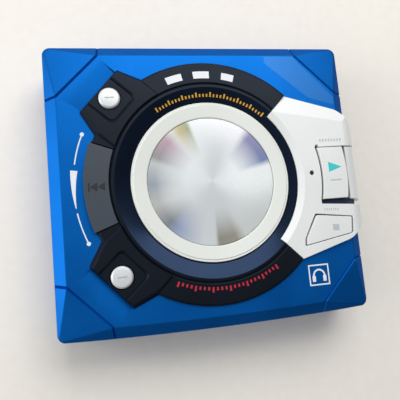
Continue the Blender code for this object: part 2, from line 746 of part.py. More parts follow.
def bevel_wedge():
    """What the sloping band along the panel's rear edge takes off."""
    start, end = Vector(PANEL_BEVEL_LOW), Vector(PANEL_BEVEL_HIGH)
    along = (end - start).normalized()
    across = Vector((-along.y, along.x))
    width = 10 * MM
    start -= along * width
    end += along * width
    sections = []
    for point in (start, end):
        far = point + across * width
        drop = PANEL_BEVEL_SLOPE * width
        section = [(*point, PANEL_TOP), (*far, PANEL_TOP - drop), (*far, PANEL_TOP + drop)]
        sections.append(section + [(*point, PANEL_TOP + drop)])
    return loft(sections)


def plunger(place, top):
    """The stem that carries a key's press to the key board."""
    return disc(place, PLUNGER_RADIUS, PLUNGER_END, top, 16)


def play_key(body):
    """Play key: a ring sector cut straight at its ends, with a plunger below."""
    key = piece("play_key", prism(sector(PLAY_INNER, PLAY_OUTER, -20, 20, 12), KEY_UNDER, PLAY_TOP))
    span = block((20 * MM, 50 * MM), (PLAY_LOW_Y, PLAY_TOP_Y), (FACE_Z, PLAY_TOP + 1 * MM))
    keep(key, span)
    join(key, plunger(PLAY_PLUNGER, KEY_UNDER + 0.4 * MM))
    dress(key, "silver_paint", body)


def stop_key(body):
    """Stop key: a five-sided key with rounded corners."""
    key = piece("stop_key", prism(stop_outline(), KEY_UNDER, STOP_TOP))
    join(key, plunger(STOP_PLUNGER, KEY_UNDER + 0.4 * MM))
    dress(key, "silver_paint", body)


def skip_key(body):
    """Skip key: the left-hand sector of the bezel."""
    start, end = 180 - SKIP_HALF_ANGLE, 180 + SKIP_HALF_ANGLE
    key = piece("skip_key", prism(sector(SKIP_INNER, SKIP_OUTER, start, end, 14), KEY_UNDER, SKIP_TOP))
    join(key, plunger(SKIP_PLUNGER, KEY_UNDER + 0.4 * MM))
    dress(key, "black_plastic", body)


def volume_button(name, hand, body):
    """Round domed volume button with its plunger."""
    profile = [
        (0.0, PLUNGER_END),
        (PLUNGER_RADIUS, PLUNGER_END),
        (PLUNGER_RADIUS, KEY_UNDER),
        (BUTTON_RADIUS, KEY_UNDER),
        (BUTTON_RADIUS, BUTTON_TOP - 0.5 * MM),
        (BUTTON_RADIUS - 0.35 * MM, BUTTON_TOP - 0.15 * MM),
        (0.0, BUTTON_TOP),
    ]
    piece(name, turned(profile, button_place(hand), 28), "trim_metal", body, smooth=True)


def dress(target, finish_name, body):
    """Gives a combined piece its finish and its body."""
    target.data.materials.clear()
    target.data.materials.append(finish(finish_name))
    target.parent = body
    target.matrix_parent_inverse = body.matrix_world.inverted()


def open_slider(body):
    """Slider on the lid's right edge, with a stem through the wall and a hook inside."""
    plan = [
        (SLIDER_INNER, SLIDER_LOW_Y),
        (PANEL_MAX_X + 1 * MM, SLIDER_LOW_Y - 0.7 * MM),
        (PANEL_MAX_X + 1 * MM, SLIDER_TOP_Y),
        (SLIDER_INNER, SLIDER_TOP_Y),
    ]
    slider = piece("open_slider", prism(plan, PANEL_BOTTOM, PANEL_TOP))
    keep(slider, prism_along_y(side_crown(30 * MM, 0.1 * MM), -20 * MM, 20 * MM))
    cut(slider, disc((0, 0), SLIDER_INNER, FACE_Z - 3 * MM, PANEL_TOP + 1 * MM, ROUND_STEPS))
    cut(slider, cover_envelope(0.25 * MM))
    stem_y = (-SLIDER_STEM_HALF, SLIDER_STEM_HALF)
    join(slider, block((HOOK_X[0], CASE_HALF_WIDTH + 0.8 * MM), stem_y, SLIDER_STEM_Z))
    hook = [
        (HOOK_X[0], SLIDER_STEM_Z[1] - 0.1 * MM),
        (HOOK_X[0], HOOK_END),
        (HOOK_X[1] + HOOK_NOSE, HOOK_END + HOOK_NOSE),
        (HOOK_X[1], HOOK_END + 2 * HOOK_NOSE),
        (HOOK_X[1], SLIDER_STEM_Z[1] - 0.1 * MM),
    ]
    join(slider, prism_along_y(hook, -0.8 * SLIDER_STEM_HALF, 0.8 * SLIDER_STEM_HALF))
    dress(slider, "silver_paint", body)


def hinge_ear(x, low, high):
    """An ear round the hinge axis, drawn between two levels."""
    outline = rectangle(HINGE_Y - HINGE_EAR, HINGE_Y + HINGE_ARM_REAR, low, high)
    return prism_along_x(outline, x[0], x[1]), rod_x((HINGE_Y, HINGE_Z), HINGE_EAR, x[0], x[1])


def hinge_bores(target):
    """Drills the hinge holes on both sides of a piece."""
    for x in both_sides((PIN_INNER_X - 1 * MM, PIN_OUTER_X + 0.1 * MM)):
        cut(target, rod_x((HINGE_Y, HINGE_Z), PIN_HOLE, x[0], x[1]))


def lid_frame(lid):
    """Plate inside the lid, with the hinge arms and a notch for the hook."""
    frame = piece("lid_frame", prism(case_outline(FRAME_INSET), *FRAME_Z))
    side = CASE_HALF_WIDTH - FRAME_INSET
    notch_y = (-SLIDER_STEM_HALF - SLIDER_TRAVEL - 1 * MM, SLIDER_STEM_HALF + 1 * MM)
    cut(frame, block((HOOK_X[0] - 0.5 * MM, side + 1 * MM), notch_y, (13 * MM, 16 * MM)))
    for x in both_sides(LID_EAR_X):
        join(frame, *hinge_ear(x, HINGE_Z, FRAME_Z[1] - 0.1 * MM))
    hinge_bores(frame)
    dress(frame, "black_plastic", lid)


def key_board(lid):
    """Circuit board under the keys, with a dome switch below each plunger."""
    board = piece("key_board", prism(ceiling_outline(0.6 * MM), *BOARD_Z))
    cut(board, disc((0, 0), 20 * MM, 14 * MM, 16 * MM, 36))
    for place in (SKIP_PLUNGER, PLAY_PLUNGER, STOP_PLUNGER, button_place(1), button_place(-1)):
        join(board, disc(place, DOME_RADIUS, BOARD_Z[0] + 0.1 * MM, DOME_TOP, 16))
    dress(board, "board_green", lid)


def lamp_lens(lid):
    """Light guide of the small charge lamp."""
    guide = disc(LAMP_PLACE, LAMP_RADIUS, DOME_TOP + 0.2 * MM, PANEL_TOP - 0.1 * MM, 12)
    piece("lamp_lens", guide, "lamp_plastic", lid)


def cartridge_holder(body):
    """Folded sheet tray, open at the front, that takes the cartridge and swings with the lid."""
    half, outer = HOLDER_HALF, HOLDER_HALF + SHEET
    channel = [
        (-outer, HOLDER_LOW),
        (outer, HOLDER_LOW),
        (outer, HOLDER_HIGH),
        (half - HOLDER_LIP, HOLDER_HIGH),
        (half - HOLDER_LIP, HOLDER_HIGH - SHEET),
        (half, HOLDER_HIGH - SHEET),
        (half, HOLDER_LOW + SHEET),
        (-half, HOLDER_LOW + SHEET),
        (-half, HOLDER_HIGH - SHEET),
        (HOLDER_LIP - half, HOLDER_HIGH - SHEET),
        (HOLDER_LIP - half, HOLDER_HIGH),
        (-outer, HOLDER_HIGH),
    ]
    rear = HOLDER_REAR + SHEET
    holder = piece("cartridge_holder", prism_along_y(channel, HOLDER_FRONT, rear))
    levels = (HOLDER_LOW, HOLDER_HIGH)
    join(holder, block((-outer, outer), (HOLDER_REAR, rear), levels))
    for x in both_sides(HOLDER_EAR_X):
        arm = prism_along_x(
            rectangle(HOLDER_REAR - 2 * MM, HINGE_Y, HINGE_Z - HINGE_EAR, HINGE_Z + HINGE_EAR), *x
        )
        join(holder, arm, rod_x((HINGE_Y, HINGE_Z), HINGE_EAR, *x))
    hinge_bores(holder)
    window = rounded(rectangle(*HOLDER_WINDOW), 3 * MM)
    cut(holder, prism(window, HOLDER_LOW - 1 * MM, HOLDER_LOW + 1 * MM))
    dress(holder, "steel", body)


def hinge_pins():
    """The two short pins that the lid and the holder turn on."""
    for side, x in zip(("right", "left"), both_sides((PIN_INNER_X, PIN_OUTER_X - 0.05 * MM))):
        piece(f"hinge_pin_{side}", rod_x((HINGE_Y, HINGE_Z), PIN_RADIUS, *x), "steel", smooth=True)


def damper_places():
    """Centres of the four suspension posts."""
    return [(x * MM, y * MM) for x, y in DAMPER_PLACES]


def base_case():
    """Blue lower shell with its posts, hinge ears, socket holes and battery opening."""
    foot = case_outline(FOOT_CHAMFER)
    edge = case_outline()
    levels = ((foot, 0.0), (edge, FOOT_CHAMFER), (edge, BASE_TOP))
    base = piece("base_case", loft([[(x, y, z) for x, y in outline] for outline, z in levels]))
    cut(base, prism(case_outline(WALL), FLOOR, BASE_TOP + 1 * MM))
    cut(base, rod_x((HINGE_Y, HINGE_Z), HINGE_SWEEP, -50 * MM, 50 * MM, 32))
    for x in both_sides(BASE_EAR_X):
        join(base, *hinge_ear(x, FLOOR - 0.3 * MM, HINGE_Z))
    hinge_bores(base)
    for place in damper_places():
        join(base, disc(place, POST_RADIUS, FLOOR - 0.3 * MM, POST_TOP, 16))
        cut(base, disc(place, SCREW_SHANK + 0.1 * MM, -1 * MM, POST_TOP - 0.4 * MM, 12))
        cut(base, disc(place, SCREW_HEAD + 0.2 * MM, -1 * MM, SCREW_RECESS, 16))
    boss_y = (DOOR_Y[1] - 1.6 * MM, DOOR_Y[1] + 1.2 * MM)
    boss_z = (DOOR_Z[1] + GAP, BASE_TOP - 0.1 * MM)
    wall_x = -CASE_HALF_WIDTH
    join(base, block((wall_x + 0.5 * MM, wall_x + 1.9 * MM), boss_y, boss_z))
    door_y = (DOOR_Y[0] - GAP, DOOR_Y[1] + GAP)
    door_z = (DOOR_Z[0] - GAP, DOOR_Z[1] + GAP)
    cut(base, block((wall_x - WALL, wall_x + 2 * WALL), door_y, door_z))
    cut(base, disc(DOOR_AXIS, DOOR_PIN + 0.08 * MM, FLOOR - 0.25 * MM, BASE_TOP - 0.5 * MM, 12))
    through = (wall_x - WALL, wall_x + 2 * WALL)
    cut(base, rod_x((PHONES_Y, PHONES_Z), PHONES_COLLAR + 0.2 * MM, *through, 24))
    cut(base, rod_y((DC_X, DC_Z), DC_BORE + 0.4 * MM, CASE_REAR - 2 * WALL, CASE_REAR + WALL))
    slot_y = (HOLD_Y - HOLD_TRAVEL - HOLD_SLOT_HALF, HOLD_Y + HOLD_SLOT_HALF)
    slot_z = (HOLD_Z - HOLD_STEM_Z - GAP, HOLD_Z + HOLD_STEM_Z + GAP)
    cut(base, block((CASE_HALF_WIDTH - 2 * WALL, CASE_HALF_WIDTH + WALL), slot_y, slot_z))
    base.data.materials.append(finish("blue_metal"))


def case_screws():
    """Four screws from below, one up each suspension post."""
    head_low = 0.1 * MM
    head_high = SCREW_RECESS - 0.1 * MM
    for number, place in enumerate(damper_places(), 1):
        profile = [
            (0.0, head_low),
            (SCREW_HEAD, head_low),
            (SCREW_HEAD, head_high),
            (SCREW_SHANK, head_high),
            (SCREW_SHANK, POST_TOP - 0.6 * MM),
            (0.0, POST_TOP - 0.6 * MM),
        ]
        screw = piece(f"case_screw_{number}", turned(profile, place, 16), "steel", smooth=True)
        for turn in ((0.9, 0.22), (0.22, 0.9)):
            x = (place[0] - turn[0] * MM, place[0] + turn[0] * MM)
            y = (place[1] - turn[1] * MM, place[1] + turn[1] * MM)
            cut(screw, block(x, y, (-1 * MM, head_low + 0.25 * MM)))


def chassis():
    """Steel deck of the disc drive, with windows, feet and tabs folded down for the rods."""
    x0, x1, y0, y1 = CHASSIS_PLAN
    deck = piece("chassis", prism(rounded(rectangle(x0, x1, y0, y1), 2 * MM), *CHASSIS_Z))
    below, above = CHASSIS_Z[0] - 1 * MM, CHASSIS_Z[1] + 1 * MM
    cut(deck, disc(SPINDLE, TURNTABLE_RADIUS + 1.0 * MM, below, above, 32))
    window = rectangle(9.2 * MM, 35.6 * MM, LENS_PLACE[1] - 4 * MM, LENS_PLACE[1] + 4 * MM)
    cut(deck, prism(rounded(window, 1.5 * MM), below, above))
    for x in TAB_X:
        rear_tab = (MAIN_ROD_Y - 1.3 * MM, SCREW_Y + 1.3 * MM)
        front_tab = (SUB_ROD_Y - 1.2 * MM, SUB_ROD_Y + 1.2 * MM)
        for y in (rear_tab, front_tab):
            join(deck, block(x, y, (SCREW_Z - 1.2 * MM, CHASSIS_Z[0] + 0.2 * MM)))
        ends = (x[0] - 1 * MM, x[1] + 1 * MM)
        cut(deck, rod_x((MAIN_ROD_Y, ROD_Z), MAIN_ROD_RADIUS + 0.05 * MM, *ends))
        cut(deck, rod_x((SUB_ROD_Y, ROD_Z), SUB_ROD_RADIUS + 0.05 * MM, *ends))
        cut(deck, rod_x((SCREW_Y, SCREW_Z), FEED_RADIUS + 0.1 * MM, *ends))
    deck.data.materials.append(finish("steel"))


def dampers():
    """Rubber suspension bushes between the posts and the chassis, waisted in the middle."""
    low, high = DAMPER_Z
    middle = (low + high) / 2
    for number, place in enumerate(damper_places(), 1):
        profile = [
            (0.0, low),
            (DAMPER_RADIUS, low),
            (DAMPER_RADIUS, low + 0.5 * MM),
            (DAMPER_RADIUS - 0.6 * MM, middle),
            (DAMPER_RADIUS, high - 0.5 * MM),
            (DAMPER_RADIUS, high),
            (0.0, high),
        ]
        piece(f"damper_{number}", turned(profile, place, 20), "rubber", smooth=True)


def spindle(turntable_body):
    """Flat spindle motor under the deck, and the turntable that it drives."""
    low, high = MOTOR_Z
    motor = [
        (0.0, low),
        (MOTOR_RADIUS - 0.4 * MM, low),
        (MOTOR_RADIUS, low + 0.4 * MM),
        (MOTOR_RADIUS, high - 1.2 * MM),
        (MOTOR_RADIUS - 0.9 * MM, high - 1.2 * MM),
        (MOTOR_RADIUS - 0.9 * MM, high),
        (0.0, high),
    ]
    piece("spindle_motor", turned(motor, SPINDLE, 36), "dark_steel", smooth=True)
    foot = high + 0.3 * MM
    table = [
        (0.0, foot),
        (TURNTABLE_RADIUS - 1.2 * MM, foot),
        (TURNTABLE_RADIUS, foot + 0.5 * MM),
        (TURNTABLE_RADIUS, TURNTABLE_TOP - 0.35 * MM),
        (TURNTABLE_RADIUS - 0.9 * MM, TURNTABLE_TOP - 0.35 * MM),
        (2.6 * MM, TURNTABLE_TOP - 0.35 * MM),
        (1.9 * MM, TURNTABLE_TOP),
        (0.0, TURNTABLE_TOP),
    ]
    wheel = piece("turntable", turned(table, SPINDLE, 36), None, turntable_body, smooth=True)
    for k in range(3):
        angle = math.tau * k / 3
        place = (SPINDLE[0] + 3.8 * MM * math.cos(angle), SPINDLE[1] + 3.8 * MM * math.sin(angle))
        cut(wheel, disc(place, 0.6 * MM, TURNTABLE_TOP - 0.7 * MM, TURNTABLE_TOP + 1 * MM, 10))
    dress(wheel, "steel", turntable_body)


def guide_rods():
    """The main and the second rod that the pickup runs on."""
    for name, y, radius in (
        ("guide_rod_main", MAIN_ROD_Y, MAIN_ROD_RADIUS),
        ("guide_rod_second", SUB_ROD_Y, SUB_ROD_RADIUS),
    ):
        piece(name, rod_x((y, ROD_Z), radius, *ROD_X), "steel", smooth=True)


def pickup(body):
    """Laser pickup sled with its rod bores and feed tooth, and the lens on top."""
    sled = piece("pickup_sled", block(SLED_X, SLED_Y, SLED_Z))
    tooth_x = (SLED_X[0] + 2 * MM, SLED_X[1] - 2 * MM)
    tooth_y = (SLED_Y[1] - 0.5 * MM, SCREW_Y - FEED_RADIUS - 0.15 * MM)
    join(sled, block(tooth_x, tooth_y, (SCREW_Z - 0.6 * MM, SCREW_Z + 0.6 * MM)))
    ends = (SLED_X[0] - 1 * MM, SLED_X[1] + 1 * MM)
    cut(sled, rod_x((MAIN_ROD_Y, ROD_Z), MAIN_ROD_RADIUS + 0.08 * MM, *ends))
    cut(sled, rod_x((SUB_ROD_Y, ROD_Z), SUB_ROD_RADIUS + 0.08 * MM, *ends))
    saddle_y = (SLED_Y[0] - 1 * MM, SUB_ROD_Y + SUB_ROD_RADIUS)
    cut(sled, block(ends, saddle_y, (ROD_Z - SUB_ROD_RADIUS, ROD_Z + SUB_ROD_RADIUS)))
    dress(sled, "dark_steel", body)
    foot = SLED_Z[1] + 0.2 * MM
    profile = [
        (0.0, foot),
        (LENS_RADIUS, foot),
        (LENS_RADIUS, LENS_TOP - 0.4 * MM),
        (LENS_RADIUS * 0.8, LENS_TOP - 0.3 * MM),
        (LENS_RADIUS * 0.45, LENS_TOP - 0.06 * MM),
        (0.0, LENS_TOP),
    ]
    piece("objective_lens", turned(profile, LENS_PLACE, 20), "lens_glass", body, smooth=True)


def gear_outline(teeth, centre, first):
    """Straight-flanked gear teeth with backlash, in Y and Z, the first tooth at that angle."""
    root = GEAR_MODULE * (teeth / 2 - 1.15)
    tip = GEAR_MODULE * (teeth / 2 + 0.9)
    pitch = math.tau / teeth
    points = []
    for k in range(teeth):
        middle = first + k * pitch
        for radius, share in ((root, -0.29), (tip, -0.1), (tip, 0.1), (root, 0.29)):
            angle = middle + share * pitch
            points.append((centre[0] + radius * math.cos(angle), centre[1] + radius * math.sin(angle)))
    return points


def feed_drive(screw_body, pinion_body):
    """Feed screw with its gear, and the motor with the pinion that drives it."""
    axis = (SCREW_Y, SCREW_Z)
    screw = piece("feed_screw", rod_x(axis, FEED_RADIUS, GEAR_X[1] + 0.1 * MM, ROD_X[1] + 0.1 * MM))
    dress(screw, "steel", screw_body)
    wheel = gear_outline(GEAR_TEETH, axis, 0.0)
    gear = piece("feed_gear", prism_along_x(wheel, GEAR_X[0], GEAR_X[1] - 0.2 * MM))
    dress(gear, "white_plastic", screw_body)
    drive = (SCREW_Y + GEAR_CENTRES, SCREW_Z)
    facing = math.pi + math.pi / PINION_TEETH
    pinion = piece("motor_pinion", prism_along_x(gear_outline(PINION_TEETH, drive, facing), *GEAR_X))
    dress(pinion, "white_plastic", pinion_body)
    motor = piece("feed_motor", rod_x(drive, FEED_MOTOR_RADIUS, *FEED_MOTOR_X, 24))
    join(motor, rod_x(drive, 0.9 * MM, FEED_MOTOR_X[1] - 0.1 * MM, FEED_MOTOR_X[1] + 0.4 * MM, 12))
    motor.data.materials.append(finish("steel"))


def main_board():
    """Main circuit board, L-shaped round the drive, with its chips and holes for two posts."""
    board = piece("main_board", prism([(x * MM, y * MM) for x, y in MAIN_BOARD_PLAN], *MAIN_BOARD_Z))
    for place in damper_places()[:2]:
        cut(board, disc(place, POST_RADIUS + 0.4 * MM, 0.0, 4 * MM, 16))
    seat = MAIN_BOARD_Z[1] - 0.1 * MM
    for x, y, top in CHIPS:
        join(board, block((x[0] * MM, x[1] * MM), (y[0] * MM, y[1] * MM), (seat, top * MM)))
    board.data.materials.append(finish("board_green"))


def battery_set(door_body):
    """Flat rechargeable cell, its contact, and the door in the left wall with its pin."""
    x0, y0, z0 = BATTERY_LOW
    section = rectangle(y0, y0 + BATTERY[1], z0, z0 + BATTERY[2])
    piece("battery", prism_along_x(rounded(section, 1.0 * MM), x0, x0 + BATTERY[0]), "battery_sleeve")
    end = x0 + BATTERY[0] + GAP
    middle = y0 + BATTERY[1] / 2
    leaf = [(end, 3.0), (end + 1.2 * MM, 1.4), (end + 1.6 * MM, 1.4), (end + 0.4 * MM, 3.2)]
    leaf += [(end + 1.6 * MM, 6.6), (end + 1.2 * MM, 6.6)]
    outline = [(x, z * MM) for x, z in leaf]
    piece("battery_contact", prism_along_y(outline, middle - 3 * MM, middle + 3 * MM), "steel")
    plate = block((-CASE_HALF_WIDTH, WALL - CASE_HALF_WIDTH), (DOOR_Y[0], DOOR_AXIS[1]), DOOR_Z)
    door = piece("battery_door", plate)
    join(door, disc(DOOR_AXIS, DOOR_KNUCKLE, *DOOR_Z, 16))
    cut(door, disc(DOOR_AXIS, DOOR_PIN + 0.08 * MM, 0.0, BASE_TOP, 12))
    grip_y = (DOOR_Y[0] + 1.2 * MM, DOOR_Y[0] + 1.8 * MM)
    for k in range(3):
        y = (grip_y[0] + 1.2 * MM * k, grip_y[1] + 1.2 * MM * k)
        x = (-CASE_HALF_WIDTH - 1 * MM, 0.3 * MM - CASE_HALF_WIDTH)
        cut(door, block(x, y, (DOOR_Z[0] + 1 * MM, DOOR_Z[1] - 1 * MM)))
    dress(door, "blue_metal", door_body)
    piece("door_pin", disc(DOOR_AXIS, DOOR_PIN, FLOOR - 0.15 * MM, BASE_TOP - 0.7 * MM, 12), "steel")


def sockets():
    """Headphone socket in the left wall and power socket in the rear wall."""
    wall_x = -CASE_HALF_WIDTH
    inner = wall_x + WALL + GAP
    shell_y = (PHONES_Y - PHONES_HALF, PHONES_Y + PHONES_HALF)
    phones = piece("headphone_jack", block((inner, inner + PHONES_LENGTH), shell_y, SOCKET_Z))
    axis = (PHONES_Y, PHONES_Z)
    join(phones, rod_x(axis, PHONES_COLLAR - 0.4 * MM, wall_x + 0.1 * MM, inner + 1 * MM, 24))
    cut(phones, rod_x(axis, PHONES_BORE, wall_x - WALL, inner + PHONES_LENGTH - 1 * MM, 24))
    phones.data.materials.append(finish("black_plastic"))
    rear = CASE_REAR - WALL - GAP
    shell_x = (DC_X - DC_HALF, DC_X + DC_HALF)
    power = piece("dc_jack", block(shell_x, (rear - DC_LENGTH, rear), SOCKET_Z))
    axis = (DC_X, DC_Z)
    cut(power, rod_y(axis, DC_BORE, rear - DC_LENGTH + 1.5 * MM, rear + 1 * MM, 20))
    join(power, rod_y(axis, DC_PIN, rear - DC_LENGTH + 1 * MM, rear - 0.6 * MM, 12))
    power.data.materials.append(finish("black_plastic"))


def hold_switch(body):
    """Hold knob in the right wall, and the switch that it moves."""
    wall_x = CASE_HALF_WIDTH
    cap_x = (wall_x + HOLD_CAP_X[0], wall_x + HOLD_CAP_X[1])
    cap_y = (HOLD_Y - HOLD_CAP[0], HOLD_Y + HOLD_CAP[0])
    cap_z = (HOLD_Z - HOLD_CAP[1], HOLD_Z + HOLD_CAP[1])
    knob = piece("hold_knob", block(cap_x, cap_y, cap_z))
    groove_x = (cap_x[1] - 0.25 * MM, cap_x[1] + 1 * MM)
    groove_z = (cap_z[0] - 1 * MM, cap_z[1] + 1 * MM)
    for k in (-1, 0, 1):
        middle = HOLD_Y + HOLD_RIB_PITCH * k
        cut(knob, block(groove_x, (middle - 0.3 * MM, middle + 0.3 * MM), groove_z))
    stem_y = (HOLD_Y - HOLD_STEM_Y, HOLD_Y + HOLD_STEM_Y)
    stem_z = (HOLD_Z - HOLD_STEM_Z, HOLD_Z + HOLD_STEM_Z)
    stem_x = (wall_x + HOLD_SWITCH_X[1] + GAP, cap_x[0] + 0.15 * MM)
    join(knob, block(stem_x, stem_y, stem_z))
    dress(knob, "black_plastic", body)
    switch_x = (wall_x + HOLD_SWITCH_X[0], wall_x + HOLD_SWITCH_X[1])
    switch_y = (cap_y[0] - HOLD_TRAVEL, cap_y[1])
    piece("hold_switch", block(switch_x, switch_y, HOLD_SWITCH_Z), "dark_steel")


def main():
    """Builds every piece, each moving body round an empty on its joint axis."""
    clear_scene()
    hinge = (0.0, HINGE_Y, HINGE_Z)
    lid = body_empty("lid_axis", hinge)
    holder = body_empty("holder_axis", hinge)
    base_case()
    case_screws()
    hinge_pins()
    chassis()
    dampers()
    guide_rods()
    main_board()
    sockets()
    battery_set(body_empty("door_axis", (*DOOR_AXIS, 0.0)))
    hold_switch(body_empty("hold_axis", (CASE_HALF_WIDTH, HOLD_Y, HOLD_Z)))
    spindle(body_empty("turntable_axis", (*SPINDLE, 0.0)))
    pickup(body_empty("pickup_axis", (*LENS_PLACE, ROD_Z)))
    screw_axis = body_empty("feed_screw_axis", (0.0, SCREW_Y, SCREW_Z))
    feed_drive(screw_axis, body_empty("pinion_axis", (0.0, SCREW_Y + GEAR_CENTRES, SCREW_Z)))
    cartridge_holder(holder)
    lid_frame(lid)
    key_board(lid)
    lamp_lens(lid)
    top_cover(lid)
    ring_bezel(lid)
    centre_plates(lid)
    control_panel(lid)
    play_key(body_empty("play_axis", (*PLAY_PLUNGER, PLAY_TOP)))
    stop_key(body_empty("stop_axis", (*STOP_PLUNGER, STOP_TOP)))
    skip_key(body_empty("skip_axis", (*SKIP_PLUNGER, SKIP_TOP)))
    for name, hand in (("volume_up", 1), ("volume_down", -1)):
        place = (*button_place(hand), BUTTON_TOP)
        volume_button(f"{name}_button", hand, body_empty(f"{name}_axis", place))
    open_slider(body_empty("slider_axis", (CASE_HALF_WIDTH, 0.0, SLIDER_STEM_Z[0])))


main()
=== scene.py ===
"""Looks of a pocket headphone player for cartridge discs.

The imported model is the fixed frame. The pieces that show are rebuilt here with rounded edges, fine
turning and printed marks, and every other piece of the frame gets its own finish. Sizes are in
millimetres until a piece is made, and the model itself is in metres.
"""

from __future__ import annotations

import json
import logging
import math
from dataclasses import dataclass, field
from enum import Enum
from typing import Any, Callable, Iterable, Sequence

import bmesh
import bpy
from mathutils import Matrix, Vector

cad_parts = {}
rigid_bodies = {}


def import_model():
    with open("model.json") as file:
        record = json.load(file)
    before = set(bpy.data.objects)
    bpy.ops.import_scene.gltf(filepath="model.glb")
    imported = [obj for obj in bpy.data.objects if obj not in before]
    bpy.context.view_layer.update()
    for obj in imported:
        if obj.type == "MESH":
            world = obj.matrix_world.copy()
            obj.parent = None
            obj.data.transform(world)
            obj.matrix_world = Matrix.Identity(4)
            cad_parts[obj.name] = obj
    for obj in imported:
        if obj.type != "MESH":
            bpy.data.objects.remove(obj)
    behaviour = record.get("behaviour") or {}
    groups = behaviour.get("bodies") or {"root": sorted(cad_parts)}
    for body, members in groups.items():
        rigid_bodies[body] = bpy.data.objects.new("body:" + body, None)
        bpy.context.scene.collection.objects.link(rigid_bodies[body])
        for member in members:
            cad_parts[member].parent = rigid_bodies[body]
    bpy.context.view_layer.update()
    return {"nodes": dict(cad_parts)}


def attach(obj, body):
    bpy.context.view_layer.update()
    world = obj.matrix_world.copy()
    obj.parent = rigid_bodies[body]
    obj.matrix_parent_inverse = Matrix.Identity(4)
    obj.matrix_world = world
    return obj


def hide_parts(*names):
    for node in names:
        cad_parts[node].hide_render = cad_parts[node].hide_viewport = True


MM = 0.001
LOG = logging.getLogger("player")

# Values between which nearly all of a noise texture lies
NOISE_RANGE = (0.3, 0.7)
# Units from crest to crest of a wave texture at scale 1
WAVE_LENGTH = 0.314
# Lengths in mm below which points are one: in a finished mesh, a copied one, a carved one and a
# turned or cut one
SLIVER = 0.001
COPY_MERGE = 0.002
CARVE_MERGE = 0.01
TURN_MERGE = 0.0005
# Faces that meet at fewer degrees than this count as one flat face
FLAT_ANGLE = 0.6
# How far in mm a cutting block stands past what it cuts
PAST = 1.0
# Two levels in mm that are closer than this are one level
LEVEL_MATCH = 0.01
# Steps round the large turned pieces, a small hole, a stem, a sector's arc and a rounded corner
TURN_STEPS = 180
HOLE_STEPS = 32
STEM_STEPS = 24
ARC_STEPS = 32
CORNER_STEPS = 5
# The stem under every key: its radius, the level of its foot and its overlap with the key, in mm
STEM_RADIUS = 1.1
STEM_FOOT = 15.8
STEM_OVERLAP = 0.4

Point = tuple[float, float]
Colour = tuple[float, float, float, float]


class Body(Enum):
    """Bodies of the frame that carry the pieces made here."""

    BASE = "base"
    LID = "lid"
    PLAY = "play"
    STOP = "stop"
    SKIP = "skip"
    VOLUME_UP = "volume_up"
    VOLUME_DOWN = "volume_down"
    SLIDER = "slider"
    DOOR = "door"
    HOLD = "hold"


class Axis(Enum):
    """Directions that an outline is extruded along."""

    X = 0
    Y = 1
    Z = 2


class Slot(Enum):
    """Material slots of the record; the pieces' finishes come from the constants below."""

    BLUE_SHELL = "blue_shell"
    BLACK_PLASTIC = "black_plastic"
    SILVER_PLASTIC = "silver_plastic"
    SATIN_ALUMINIUM = "satin_aluminium"
    SPUN_ALUMINIUM = "spun_aluminium"


def srgb(code: str) -> Colour:
    """Turns an sRGB hex colour into linear values.

    Args:
        code: Six hex digits after a hash.

    Returns:
        Linear red, green and blue, and an alpha of 1.
    """
    parts = [int(code[i : i + 2], 16) / 255 for i in (1, 3, 5)]
    linear = [v / 12.92 if v <= 0.04045 else ((v + 0.055) / 1.055) ** 2.4 for v in parts]
    return (linear[0], linear[1], linear[2], 1.0)


def add_node(
    tree: bpy.types.NodeTree, kind: str, inputs: dict[Any, Any] | None = None, **settings: Any
) -> bpy.types.Node:
    """Adds a node with its settings, and fills or links its inputs.

    Args:
        tree: The node tree that gets the node.
        kind: The node's type name.
        inputs: Values or output sockets, by input name or number.
        settings: The node's own properties.

    Returns:
        The new node.
    """
    node = tree.nodes.new(kind)
    for name, value in settings.items():
        setattr(node, name, value)
    for key, value in (inputs or {}).items():
        if isinstance(value, bpy.types.NodeSocket):
            tree.links.new(value, node.inputs[key])
        else:
            node.inputs[key].default_value = value
    return node


def per_mm(size: float) -> float:
    """Texture scale at which one repeat covers that many millimetres of Object coordinates."""
    return 1.0 / (size * MM)


def set_stops(ramp: bpy.types.Node, stops: Sequence[tuple[float, Colour]]) -> bpy.types.Node:
    """Gives a colour ramp its stops.

    Args:
        ramp: The colour ramp node.
        stops: Places from 0 to 1 with their colours, in order.

    Returns:
        The same node.
    """
    elements = ramp.color_ramp.elements
    while len(elements) < len(stops):
        elements.new(1.0)
    for element, (place, colour) in zip(elements, stops):
        element.position = place
        element.color = colour
    return ramp


